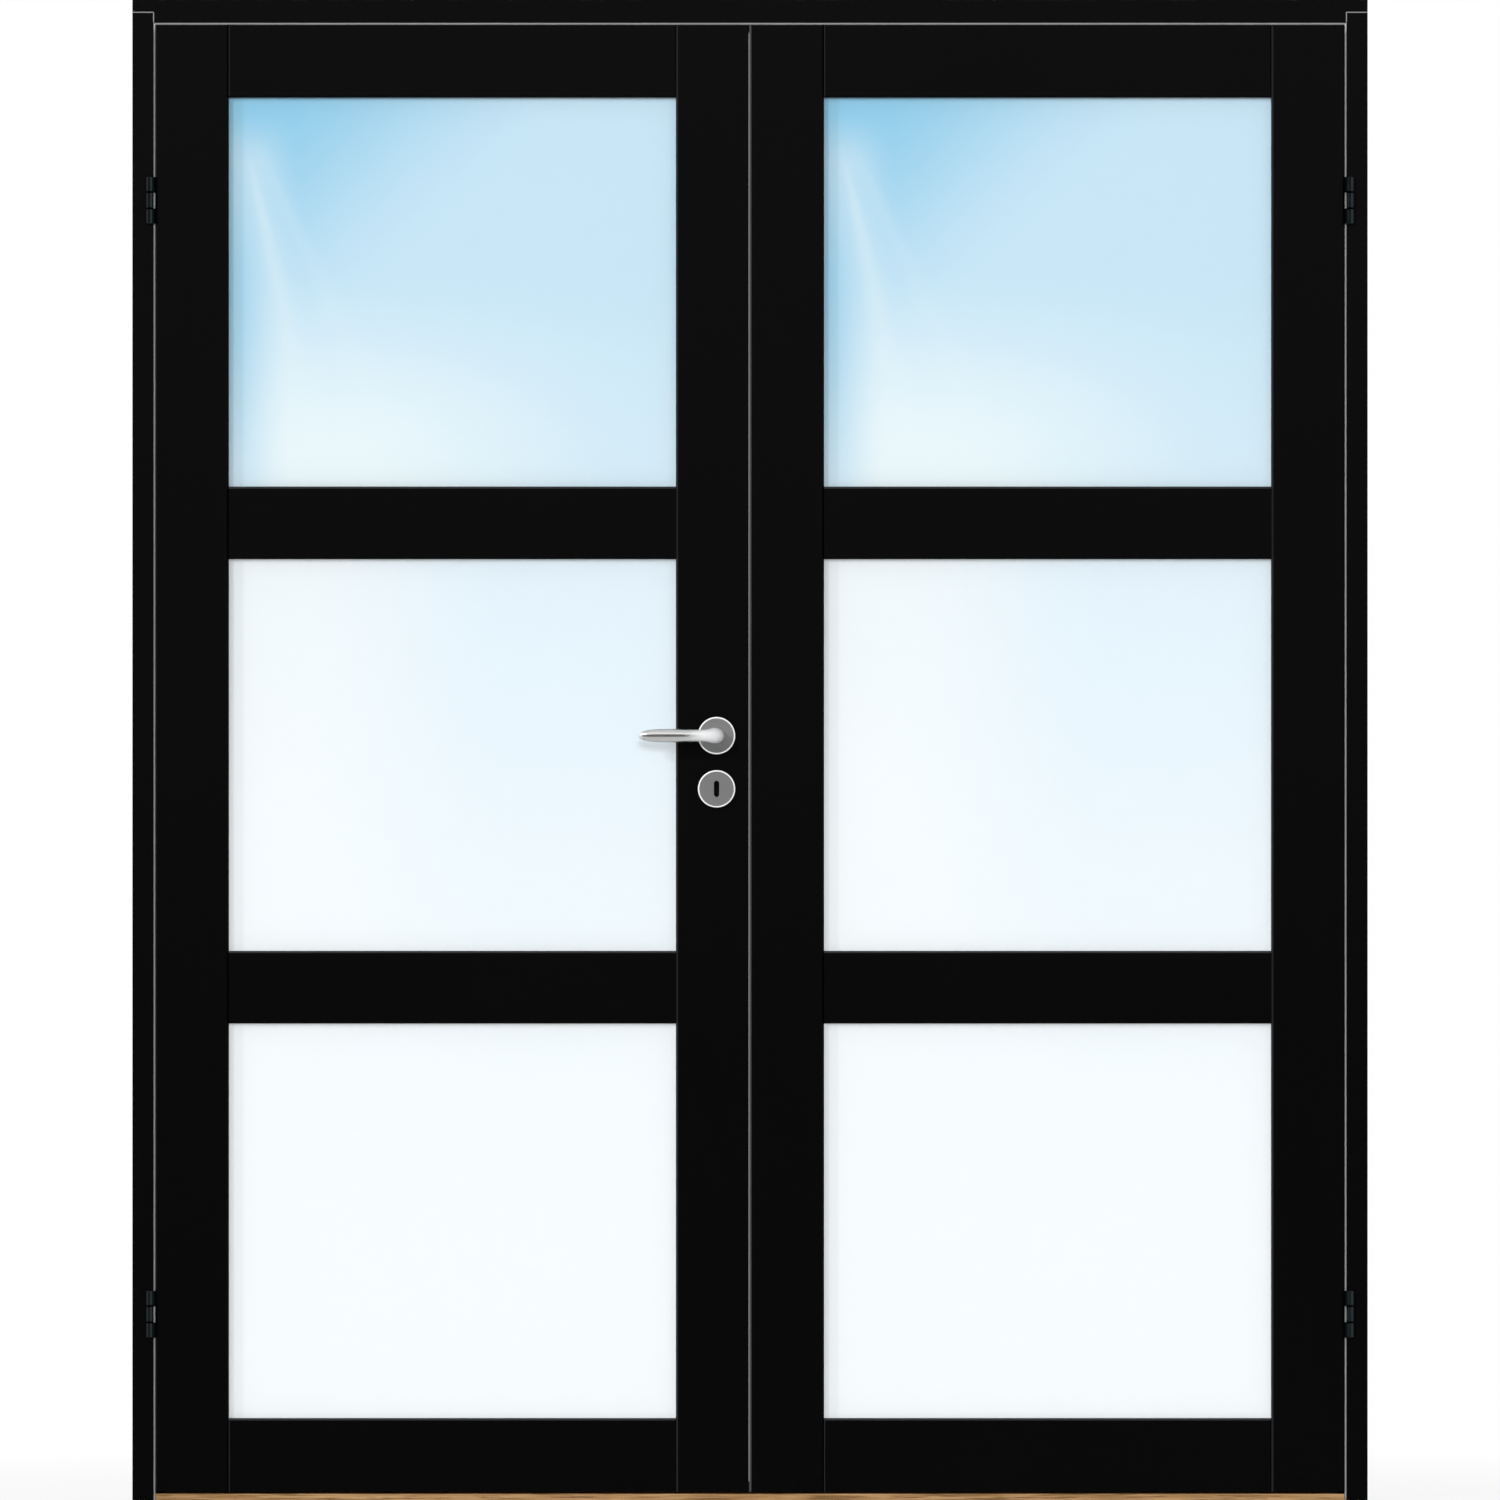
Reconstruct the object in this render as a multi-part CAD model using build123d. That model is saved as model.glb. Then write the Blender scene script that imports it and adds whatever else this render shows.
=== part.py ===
from build123d import *
import os
from math import cos, radians, sin, sqrt, tan

os.makedirs("parts", exist_ok=True)

# French doors in their frame, in millimetres. The origin is at the bottom centre of the frame,
# halfway through its depth. +Z is up, and the hinge side of the doors faces -Y.
# Both leaves are modelled on the left, with the hinges at -X. The right one is then mirrored.

# Leaves
leaf_width = 825.0
leaf_height = 2040.0
leaf_thickness = 40.0
gap = 3.0  # all round each leaf, and between the two
stop_gap = 3.0  # from the back of a leaf to the stop of the frame
stile_width = 101.5
top_rail = 101.0
mid_rail = 101.0
bottom_rail = 102.0
middle_pane = 545.0
bottom_pane = 549.0  # the top pane takes up the rest of the height
pane_chamfer = 2.8  # on the front edges round the glass
rail_end_chamfer = 1.4  # makes the V groove where an end rail meets a stile
arris = 0.8  # broken edge round the front of a leaf
meeting_bevel = 2.5  # degrees that a meeting edge leans back, to clear the other leaf
tenon_thickness = 12.0
tenon_length = 38.0
tenon_shoulder = 20.0  # wood above and below a tenon

# Glazing
glass_thickness = 4.0
front_lip = 13.0  # wood in front of the glass
rebate_cover = 12.0  # how far the rebate runs in behind the lip
glass_play = 2.0  # between the edge of the glass and the rebate
bead_chamfer = 3.0

# Frame
frame_depth = 92.0
jamb_face = 29.5
head_face = 32.5
head_lap = 18.0  # the part of the head that runs on over the jambs
stop_step = 12.0  # how far the stops stand out
threshold_lip = 9.5
threshold_height = 25.0
threshold_slope_run = 22.0
threshold_slope_drop = 11.0

# Seals
seal_width = 4.0
seal_root = 3.0  # depth of the groove that holds a seal
seal_setback = 4.0  # from the front face
seal_play = 0.6  # between a seal and the edge that it faces
seal_nose = 1.0
meeting_play = 0.45  # between the seal of the right leaf and the edge of the left one

# Wall fixings
sleeve_radius = 7.0
sleeve_bore_radius = 4.0
sleeve_hex = 10.0
sleeve_hex_depth = 8.0
sleeve_setback = 24.0
fixing_rise = 150.0  # from the floor to the lowest fixing
fixing_drop = 120.0  # from the top of the jamb to the highest
fixing_step = 500.0  # from each of those to the next one

# Hinges
hinge_length = 65.0
knuckle_length = 22.4  # the middle knuckle, on the frame
knuckle_gap = 0.3
barrel_radius = 5.0
knuckle_chamfer = 0.5  # on the rims of each knuckle
pin_radius = 2.5
pin_clearance = 0.05
pin_chamfer = 0.5
hinge_plate = 2.4  # thickness
hinge_plate_margin = 7.0  # wood left behind a let-in plate
hinge_plate_corner = 4.0
hinge_plate_sink = 0.35  # the frame plate lies this far below the jamb
barrel_stand_off = 1.0  # from the back of the barrel to the front of the frame
strap_bend = 1.6  # outside radius where the strap turns along the edge of the leaf
upper_hinge_drop = 244.0  # from the top of a leaf to the hinge's centre
lower_hinge_rise = 247.0  # from the bottom of a leaf to the hinge's centre

# Screws
screw_head_radius = 3.4
screw_head_depth = 2.0
screw_shank_radius = 1.8
hinge_screw_length = 24.0
plate_screw_length = 16.0
sill_screw_length = 7.0
screw_point = 3.0
screw_margin = 1.0  # wood left between a screw's head and a seal groove

# Lock
backset = 45.0
spindle_rise = 1051.5  # from the bottom of the leaf
key_drop = 74.0  # from the spindle down to the keyhole
case_thickness = 16.0
case_wall = 1.5
case_behind_spindle = 29.0
case_above_spindle = 32.0
case_below_key = 38.0
mortise_play = 0.4
forend_width = 20.0
forend_thickness = 3.0
forend_above_spindle = 80.0
forend_below_key = 81.0
forend_screw_margin = 12.0
strike_thickness = 2.0
strike_margin = 30.0  # above the latch and below the deadbolt
strike_screw_margin = 8.0
bolt_play = 0.4  # round each bolt in its hole
latch_height = 18.0
latch_thickness = 10.0
latch_length = 30.0
latch_bevel = 8.0
latch_travel = 12.0
deadbolt_height = 28.0
deadbolt_length = 30.0
deadbolt_travel = 14.0
pocket_end_play = 2.5
pocket_side_play = 1.0
tail_thickness = 2.0
tail_offset = 3.0  # from the middle of the case
latch_tail_height = 6.6
deadbolt_tail_height = 5.0
tail_overlap = 6.0  # how far a tail reaches into the head of its bolt
tail_gap = 0.4  # from the hub to the latch's tail, and from the keyhole to the deadbolt's
talon_width = 6.0
talon_depth = 2.0
hub_radius = 10.0
hub_journal_radius = 8.0
hub_play = 0.3
arm_width = 6.0
arm_thickness = 5.0
arm_reach = 17.0
lug_width = 3.0
lug_play = 0.35
running_clearance = 0.06
tumbler_thickness = 4.0
tumbler_pin_radius = 2.5
tumbler_pin_offset = 14.0  # from the keyhole's middle to the pivot
tumbler_pin_rise = 4.0  # from the foot of the keyhole
tumbler_margin = 3.0  # past the keyhole on the free side
tumbler_drop = 2.0  # below the keyhole
tumbler_corner = 3.0

# Handle
rose_radius = 26.0
rose_height = 9.0
rose_wall = 1.2
rose_rim = 1.8
base_height = 6.0
base_play = 0.1
spindle_side = 8.0
spindle_clearance = 0.05
spindle_reach = 30.0  # past each face of the leaf
neck_radius = 10.75
neck_gap = 0.3
collar_radius = 8.0
neck_length = 32.0  # from the leaf to the start of the elbow
neck_oval = 0.01  # the neck is drawn as an ellipse, this much off a circle
elbow_radius = 19.0
elbow_sections = [(30, 20.6, 19.4), (60, 18.6, 16.4), (90, 17.0, 14.0)]  # degrees, height, depth
grip_sections = [  # share of the length, height, depth
    (0.3, 16.9, 13.4),
    (0.42, 18.1, 12.7),
    (0.55, 19.0, 12.1),
    (0.67, 19.0, 12.0),
]
grip_height = 19.0
grip_depth = 12.0
tip_start = 0.72  # share of the length where the grip starts to close
tip_sections = (0.78, 0.85, 0.91, 0.955, 0.985, 0.998)
lever_length = 109.5  # from the spindle's axis to the tip
keyhole_width = 7.4
keyhole_height = 22.5
keyhole_relief = 1.0  # wider all round in the base and the leaf than in the cover
handle_bolt_spacing = 41.0
handle_bolt_radius = 2.0
handle_bolt_head_radius = 3.6
handle_bolt_head = 2.2
handle_bolt_play = 0.3
handle_bolt_thread = 4.0  # how deep a bolt goes into the front base
bore_radius = 12.0  # through the stile for the hub

# Flush bolts of the right leaf
flush_bar_thickness = 8.0
flush_bar_width = 12.0
flush_bar_inset = 11.0  # from the meeting edge to the middle of the bar
flush_bar_length = 150.0
flush_bar_chamfer = 1.0
flush_plate = 2.5
flush_plate_width = 20.0
flush_plate_length = 180.0
flush_return = 29.0  # length of the plate's foot on the end of the leaf
flush_screw_margin = 10.0
flush_foot_margin = 2.0  # from the foot's end to its screw's head
flush_travel_up = 15.0
flush_travel_down = 11.0
flush_slide_drop = 120.0  # from the end of the leaf to the thumb slide
flush_slide_length = 14.0
flush_slide_width = 8.0
keeper_length = 46.0
keeper_width = 20.0
keeper_thickness = 2.0
keeper_screw_offset = 15.0

# Worked out from the sizes above
front = -frame_depth / 2
back = frame_depth / 2
leaf_back = front + leaf_thickness
leaf_middle = front + leaf_thickness / 2
stop_face = leaf_back + stop_gap
half_width = leaf_width + 1.5 * gap + jamb_face
rebate_edge = half_width - jamb_face
stop_edge = rebate_edge - stop_step
leaf_bottom = threshold_lip + gap
leaf_top = leaf_bottom + leaf_height
head_under = leaf_top + gap
frame_height = head_under + head_face
jamb_top = frame_height - head_lap
stop_under = head_under - stop_step
hinge_edge = -rebate_edge + gap
meeting_edge = -gap / 2
inner_left = hinge_edge + stile_width
inner_right = meeting_edge - stile_width
seal_reach = gap - seal_play
seal_front = front + seal_setback
seal_back = seal_front + seal_width
spindle_x = meeting_edge - backset
spindle_z = leaf_bottom + spindle_rise
key_z = spindle_z - key_drop
hinge_heights = [leaf_top - upper_hinge_drop, leaf_bottom + lower_hinge_rise]
plate_depth = leaf_thickness - hinge_plate_margin


def block(x0, x1, y0, y1, z0, z1):
    """A box between two corners."""
    return Pos((x0 + x1) / 2, (y0 + y1) / 2, (z0 + z1) / 2) * Box(x1 - x0, y1 - y0, z1 - z0)


def rod_y(x, z, y0, y1, radius):
    """A cylinder along Y."""
    return Pos(x, (y0 + y1) / 2, z) * Rot(90, 0, 0) * Cylinder(radius, y1 - y0)


def rod_z(x, y, z0, z1, radius):
    """A cylinder along Z."""
    return Pos(x, y, (z0 + z1) / 2) * Cylinder(radius, z1 - z0)


def prism_z(points, z0, z1):
    """A prism that stands on an outline in X and Y."""
    return extrude(Pos(0, 0, z0) * make_face(Polyline(*points, close=True)), z1 - z0, dir=(0, 0, 1))


def prism_x(points, x0, x1):
    """A prism along X with an outline in Y and Z."""
    outline = Plane.YZ.offset(x0) * make_face(Polyline(*points, close=True))
    return extrude(outline, x1 - x0, dir=(1, 0, 0))


def slot_y(x, z, y0, y1, width, height):
    """An upright slot with round ends, cut along Y."""
    reach = (height - width) / 2
    middle = block(x - width / 2, x + width / 2, y0, y1, z - reach, z + reach)
    return middle + rod_y(x, z - reach, y0, y1, width / 2) + rod_y(x, z + reach, y0, y1, width / 2)


def screw(length):
    """A countersunk wood screw along +X, with its head's face at the origin."""
    outline = [
        (0, 0),
        (0, screw_head_radius),
        (screw_head_depth, screw_shank_radius),
        (length - screw_point, screw_shank_radius),
        (length, 0),
    ]
    return revolve(make_face(Polyline(*outline, close=True)), Axis.X)


def screw_left(x, y, z, length):
    return Pos(x, y, z) * Rot(0, 0, 180) * screw(length)


def screw_right(x, y, z, length):
    return Pos(x, y, z) * screw(length)


def screw_up(x, y, z, length):
    return Pos(x, y, z) * Rot(0, -90, 0) * screw(length)


def screw_down(x, y, z, length):
    return Pos(x, y, z) * Rot(0, 90, 0) * screw(length)


def mirrored(shape):
    """The same piece on the other side of the doors."""
    return mirror(shape, about=Plane.YZ)


def cut(shape, tools):
    for tool in tools:
        shape = shape - tool
    return shape


def save(name, *shapes):
    """Write one node, of one solid or of several separate ones."""
    solids = [solid for shape in shapes for solid in shape.solids()]
    whole = solids[0] if len(solids) == 1 else Compound(solids)
    export_step(whole, f"parts/{name}.step")


# Meeting edge: it leans back by the bevel, and what is let into it follows it.
def edge_x(y):
    """Where the meeting edge stands at a depth y."""
    return meeting_edge - (y - front) * tan(radians(meeting_bevel))


def edge_slab(outside, inside, y0, y1, z0, z1):
    """A slab along the meeting edge, between two depths below its surface."""
    outline = [
        (edge_x(y0) - outside, y0),
        (edge_x(y1) - outside, y1),
        (edge_x(y1) - inside, y1),
        (edge_x(y0) - inside, y0),
    ]
    return prism_z(outline, z0, z1)


# Hinges: modelled at the jamb's rebate edge and front face, with the hinge's centre at z = 0.
axis_x = -(hinge_plate_sink + barrel_radius)
axis_y = -(barrel_stand_off + barrel_radius)
frame_plate = (axis_x + barrel_radius - hinge_plate, axis_x + barrel_radius)
leaf_plate = (gap, gap + hinge_plate)
strap = (axis_y + barrel_radius - hinge_plate, axis_y + barrel_radius)
half_knuckle = knuckle_length / 2
half_hinge = hinge_length / 2


def let_in_plate(x0, x1):
    """The flat part of a hinge half, with its back corners rounded."""
    plate = block(x0, x1, 0, plate_depth, -half_hinge, half_hinge)
    corners = plate.edges().filter_by(Axis.X).group_by(Axis.Y)[-1]
    return fillet(corners, hinge_plate_corner)


def hinge_screw_places():
    """Depths and heights of the screws in a hinge plate, staggered."""
    shallow = seal_setback + seal_width + screw_head_radius + screw_margin
    deep = plate_depth - hinge_plate_corner - screw_head_radius
    rise = half_hinge - 2 * screw_head_radius
    return [(shallow, -rise), (deep, 0), (shallow, rise)]


def knuckle(z0, z1):
    """A length of the barrel with its rims broken, so that the knuckles show apart."""
    barrel = rod_z(axis_x, axis_y, z0, z1, barrel_radius)
    return chamfer(barrel.edges().filter_by(GeomType.CIRCLE), knuckle_chamfer)


def frame_hinge_half(screws):
    half = let_in_plate(*frame_plate)
    half += block(*frame_plate, axis_y, 0, -half_knuckle, half_knuckle)
    half += knuckle(-half_knuckle, half_knuckle)
    half -= rod_z(axis_x, axis_y, -half_hinge, half_hinge, pin_radius)
    return cut(half, screws)


def leaf_hinge_half(screws):
    half = let_in_plate(*leaf_plate)
    bore = rod_z(axis_x, axis_y, -half_hinge, half_hinge, pin_radius + pin_clearance)
    inner_end = half_knuckle + knuckle_gap
    for z0, z1 in ((inner_end, half_hinge), (-half_hinge, -inner_end)):
        turn = block(axis_x, leaf_plate[1], *strap, z0, z1)
        turn += block(*leaf_plate, strap[0], 0, z0, z1)
        corner = turn.edges().filter_by(Axis.Z).sort_by(Axis.X)[-2:].sort_by(Axis.Y)[0]
        half += fillet(corner, strap_bend)
        half += knuckle(z0, z1)
    return cut(half - bore, screws)


def hinge_pin():
    pin = rod_z(axis_x, axis_y, -half_hinge, half_hinge, pin_radius)
    return chamfer(pin.edges().filter_by(GeomType.CIRCLE), pin_chamfer)


def frame_hinge_screws():
    places = hinge_screw_places()
    return [screw_left(frame_plate[1], y, z, hinge_screw_length) for y, z in places]


def leaf_hinge_screws():
    places = hinge_screw_places()
    return [screw_right(leaf_plate[0], y, z, hinge_screw_length) for y, z in places]


def hinge_place(height):
    return Pos(-rebate_edge, front, height)


# Frame
def jamb_blank():
    outline = [
        (-half_width, front),
        (-rebate_edge, front),
        (-rebate_edge, stop_face),
        (-stop_edge, stop_face),
        (-stop_edge, back),
        (-half_width, back),
    ]
    room_for_head = block(-rebate_edge, -stop_edge, stop_face, back, stop_under, jamb_top)
    return prism_z(outline, 0, jamb_top) - room_for_head


def head_blank():
    outline = [
        (front, head_under),
        (stop_face, head_under),
        (stop_face, stop_under),
        (back, stop_under),
        (back, frame_height),
        (front, frame_height),
    ]
    head = prism_x(outline, -half_width, half_width)
    over_jamb = block(-half_width, -rebate_edge, front, back, stop_under, jamb_top)
    return head - over_jamb - mirrored(over_jamb)


def threshold_blank():
    outline = [
        (front, 0),
        (back, 0),
        (back, threshold_height - threshold_slope_drop),
        (back - threshold_slope_run, threshold_height),
        (stop_face, threshold_height),
        (stop_face, threshold_lip),
        (front, threshold_lip),
    ]
    board = prism_x(outline, -rebate_edge, rebate_edge)
    beside_stop = block(-rebate_edge, -stop_edge, stop_face, back, 0, threshold_height)
    beside_seal = block(-rebate_edge, hinge_edge, front, seal_back, 0, threshold_lip)
    for notch in (beside_stop, beside_seal):
        board = board - notch - mirrored(notch)
    return board


def seal_z(x, reach, z0, z1):
    """A seal that stands along Z: it starts at x and reaches towards +X, with a rounded nose."""
    nose = block(x, x + reach, seal_front, seal_back, z0, z1)
    return fillet(nose.edges().filter_by(Axis.Z).sort_by(Axis.X)[-2:], seal_nose)


def jamb_seal(notches):
    """Its root is left out behind the hinge plates, and its nose runs on past them."""
    root = block(-rebate_edge - seal_root, -rebate_edge, seal_front, seal_back, 0, head_under)
    return cut(root, notches) + seal_z(-rebate_edge, seal_reach, 0, head_under)


def head_seal():
    half = rebate_edge - seal_reach
    root = block(-half, half, seal_front, seal_back, head_under, head_under + seal_root)
    nose = block(-half, half, seal_front, seal_back, head_under - seal_reach, head_under)
    nose = fillet(nose.edges().filter_by(Axis.X).sort_by(Axis.Z)[:2], seal_nose)
    return root + nose


def fixing_heights():
    low, high = fixing_rise, jamb_top - fixing_drop
    return [low, low + fixing_step, high - fixing_step, high]


def wall_sleeve(z):
    """An adjusting sleeve that the wall screw goes through, with a hexagon socket."""
    y = front + sleeve_setback
    turned = Pos((-half_width - rebate_edge) / 2, y, z) * Rot(0, 90, 0)
    sleeve = turned * Cylinder(sleeve_radius, jamb_face)
    sleeve -= turned * Cylinder(sleeve_bore_radius, jamb_face)
    socket = extrude(RegularPolygon(sleeve_hex / 2, 6, major_radius=False), sleeve_hex_depth)
    return sleeve - Pos(-rebate_edge - sleeve_hex_depth, y, z) * Rot(0, 90, 0) * socket


def sleeve_hole(z):
    centre = Pos((-half_width - rebate_edge) / 2, front + sleeve_setback, z)
    return centre * Rot(0, 90, 0) * Cylinder(sleeve_radius, jamb_face)


# Flush bolts: modelled for the upper end, in the left-hand frame of the leaf.
bar_x = meeting_edge - flush_bar_inset
bar_half = flush_bar_thickness / 2
bar_half_width = flush_bar_width / 2
plate_y = (leaf_middle - flush_plate_width / 2, leaf_middle + flush_plate_width / 2)


def flush_bar(end, sign):
    """The sliding bar and its thumb slide. sign is 1 at the top of the leaf and -1 at the bottom."""
    z0, z1 = sorted((end, end - sign * flush_bar_length))
    bar = block(
        bar_x - bar_half,
        bar_x + bar_half,
        leaf_middle - bar_half_width,
        leaf_middle + bar_half_width,
        z0,
        z1,
    )
    tip = bar.faces().sort_by(Axis.Z)[-1 if sign > 0 else 0]
    bar = chamfer(tip.edges(), flush_bar_chamfer)
    slide_z = end - sign * flush_slide_drop
    slide = block(
        bar_x,
        edge_x(leaf_middle + flush_slide_width / 2),
        leaf_middle - flush_slide_width / 2,
        leaf_middle + flush_slide_width / 2,
        slide_z - flush_slide_length / 2,
        slide_z + flush_slide_length / 2,
    )
    return bar + slide


def bar_hole(z0, z1):
    """The hole that a bar runs in."""
    return block(
        bar_x - bar_half - bolt_play,
        bar_x + bar_half + bolt_play,
        leaf_middle - bar_half_width - bolt_play,
        leaf_middle + bar_half_width + bolt_play,
        z0,
        z1,
    )


def flush_foot_screw(end, sign):
    x = edge_x(leaf_middle) - flush_return + flush_foot_margin + screw_head_radius
    place = screw_down if sign > 0 else screw_up
    return place(x, leaf_middle, end, plate_screw_length)


def flush_plate_screw(end, sign):
    z = end - sign * (flush_plate_length - flush_screw_margin)
    return screw_left(edge_x(leaf_middle), leaf_middle, z, plate_screw_length)


def flush_plate_blank(end, sign):
    """The face plate on the meeting edge, with its foot on the end of the leaf."""
    z0, z1 = sorted((end, end - sign * flush_plate_length))
    f0, f1 = sorted((end, end - sign * flush_plate))
    return edge_slab(0, flush_plate, *plate_y, z0, z1) + edge_slab(0, flush_return, *plate_y, f0, f1)


def flush_slide_slot(end, sign, travel):
    middle = end - sign * (flush_slide_drop - travel / 2)
    half = (flush_slide_length + travel) / 2 + bolt_play
    half_slot = flush_slide_width / 2 + bolt_play
    y0, y1 = leaf_middle - half_slot, leaf_middle + half_slot
    return block(edge_x(leaf_back) - flush_plate, 0, y0, y1, middle - half, middle + half)


def bolt_plate(end, sign, travel):
    plate = flush_plate_blank(end, sign)
    z0, z1 = sorted((end, end - sign * flush_plate))
    tools = [
        bar_hole(z0, z1),
        flush_slide_slot(end, sign, travel),
        flush_foot_screw(end, sign),
        flush_plate_screw(end, sign),
    ]
    return cut(plate, tools)


def flush_pocket(end, sign):
    """Room in the stile for the bar behind its plate."""
    far = end - sign * (flush_bar_length + flush_travel_up)
    z0, z1 = sorted((end, far))
    channel = bar_hole(z0, z1)
    half_slot = flush_slide_width / 2 + bolt_play
    slide_room = block(bar_x, meeting_edge, leaf_middle - half_slot, leaf_middle + half_slot, z0, z1)
    return [channel, slide_room, flush_plate_blank(end, sign)]


def keeper(face, sign, screw_length):
    """A plate let into the frame, with the hole that a flush bolt enters, and its two screws."""
    z0, z1 = sorted((face, face + sign * keeper_thickness))
    y0, y1 = leaf_middle - keeper_width / 2, leaf_middle + keeper_width / 2
    plate = block(bar_x - keeper_length / 2, bar_x + keeper_length / 2, y0, y1, z0, z1)
    place = screw_up if sign > 0 else screw_down
    offsets = (-keeper_screw_offset, keeper_screw_offset)
    screws = [place(bar_x + offset, leaf_middle, face, screw_length) for offset in offsets]
    return plate, cut(plate, [bar_hole(z0, z1), *screws]), screws


# Lock, in the meeting stile of the left leaf
case_half = case_thickness / 2
case_inner = case_half - case_wall
case_back = spindle_x - case_behind_spindle
case_z = (key_z - case_below_key, spindle_z + case_above_spindle)
forend_y = (leaf_middle - forend_width / 2, leaf_middle + forend_width / 2)
forend_z = (key_z - forend_below_key, spindle_z + forend_above_spindle)
strike_z = (
    key_z - deadbolt_height / 2 - strike_margin,
    spindle_z + latch_height / 2 + strike_margin,
)
latch_y = (leaf_middle - latch_thickness / 2, leaf_middle + latch_thickness / 2)
latch_tip = edge_x(latch_y[1])
latch_back = latch_tip - latch_length
tail_y = (leaf_middle + tail_offset, leaf_middle + tail_offset + tail_thickness)
tail_rise = hub_radius + tail_gap
handle_bolt_heights = [
    z + sign * handle_bolt_spacing / 2 for z in (spindle_z, key_z) for sign in (-1, 1)
]


def bolt_hole(z, height, x0, x1, play=bolt_play):
    """The hole that the latch or the deadbolt slides through."""
    half = height / 2 + play
    return block(x0, x1, latch_y[0] - play, latch_y[1] + play, z - half, z + half)


def lock_case():
    outer = block(case_back, meeting_edge, leaf_middle - case_half, leaf_middle + case_half, *case_z)
    inner = block(
        case_back + case_wall,
        meeting_edge,
        leaf_middle - case_inner,
        leaf_middle + case_inner,
        case_z[0] + case_wall,
        case_z[1] - case_wall,
    )
    y0, y1 = leaf_middle - case_half, leaf_middle + case_half
    tools = [
        inner,
        edge_slab(-gap, forend_thickness, front, leaf_back, *case_z),
        rod_y(spindle_x, spindle_z, y0, y1, hub_journal_radius + running_clearance),
        slot_y(spindle_x, key_z, y0, y1, keyhole_width, keyhole_height),
    ]
    shaft_room = handle_bolt_radius + handle_bolt_play
    tools += [rod_y(spindle_x, z, y0, y1, shaft_room) for z in handle_bolt_heights]
    return cut(outer, tools)


def case_mortise():
    play = mortise_play
    return block(
        case_back - play,
        0,
        leaf_middle - case_half - play,
        leaf_middle + case_half + play,
        case_z[0] - play,
        case_z[1] + play,
    )


def forend_screws():
    heights = (forend_z[0] + forend_screw_margin, forend_z[1] - forend_screw_margin)
    return [screw_left(edge_x(leaf_middle), leaf_middle, z, plate_screw_length) for z in heights]


def forend_blank():
    return edge_slab(0, forend_thickness, *forend_y, *forend_z)


def lock_forend():
    tools = [
        bolt_hole(spindle_z, latch_height, latch_back, 0),
        bolt_hole(key_z, deadbolt_height, latch_back, 0),
    ]
    return cut(forend_blank(), tools + forend_screws())


def strike_blank():
    return edge_slab(0, strike_thickness, *forend_y, *strike_z)


def strike_screws():
    heights = (strike_z[0] + strike_screw_margin, strike_z[1] - strike_screw_margin)
    return [screw_left(edge_x(leaf_middle), leaf_middle, z, plate_screw_length) for z in heights]


def strike_pockets():
    """Room for the latch and the deadbolt in the other leaf."""
    latch_end = -(latch_travel + latch_tip) - pocket_end_play
    deadbolt_end = -(deadbolt_travel + latch_tip) - pocket_end_play
    return [
        bolt_hole(spindle_z, latch_height, latch_end, 0, pocket_side_play),
        bolt_hole(key_z, deadbolt_height, deadbolt_end, 0, pocket_side_play),
    ]


def latch_bolt():
    """The latch, drawn back. Its flat side faces the front and its bevel the back."""
    head = prism_z(
        [
            (latch_back, latch_y[0]),
            (latch_tip, latch_y[0]),
            (latch_tip, latch_y[0] + tail_thickness),
            (latch_tip - latch_bevel, latch_y[1]),
            (latch_back, latch_y[1]),
        ],
        spindle_z - latch_height / 2,
        spindle_z + latch_height / 2,
    )
    tail_z = (spindle_z + tail_rise, spindle_z + tail_rise + latch_tail_height)
    lug_x = spindle_x - arm_width / 2 - latch_travel - lug_play
    link = block(latch_back, latch_back + tail_overlap, *tail_y, spindle_z, tail_z[1])
    tail = block(lug_x - lug_width, latch_back, *tail_y, *tail_z)
    lug_y = (leaf_middle - arm_thickness / 2, tail_y[1])
    return head + link + tail + block(lug_x - lug_width, lug_x, *lug_y, *tail_z)


def deadbolt():
    """The deadbolt, drawn back, with the tail that the key drives."""
    half = deadbolt_height / 2
    head_back = latch_tip - deadbolt_length
    head = block(head_back, latch_tip, *latch_y, key_z - half, key_z + half)
    tail_bottom = key_z + keyhole_height / 2 + tail_gap
    tail_z = (tail_bottom, tail_bottom + deadbolt_tail_height)
    tail = block(spindle_x - hub_radius, head_back + tail_overlap, *tail_y, *tail_z)
    talon_x = (spindle_x - talon_width / 2, spindle_x + talon_width / 2)
    return head + tail - block(*talon_x, *tail_y, tail_bottom, tail_bottom + talon_depth)


def follower():
    """The hub that the spindle turns. Its arm draws the latch back."""
    hub_half = case_inner - hub_play
    hub = rod_y(spindle_x, spindle_z, leaf_middle - hub_half, leaf_middle + hub_half, hub_radius)
    hub += rod_y(
        spindle_x, spindle_z, leaf_middle - case_half, leaf_middle + case_half, hub_journal_radius
    )
    hub += block(
        spindle_x - arm_width / 2,
        spindle_x + arm_width / 2,
        leaf_middle - arm_thickness / 2,
        leaf_middle + arm_thickness / 2,
        spindle_z,
        spindle_z + arm_reach,
    )
    return hub - spindle_bar(spindle_clearance)


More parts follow.
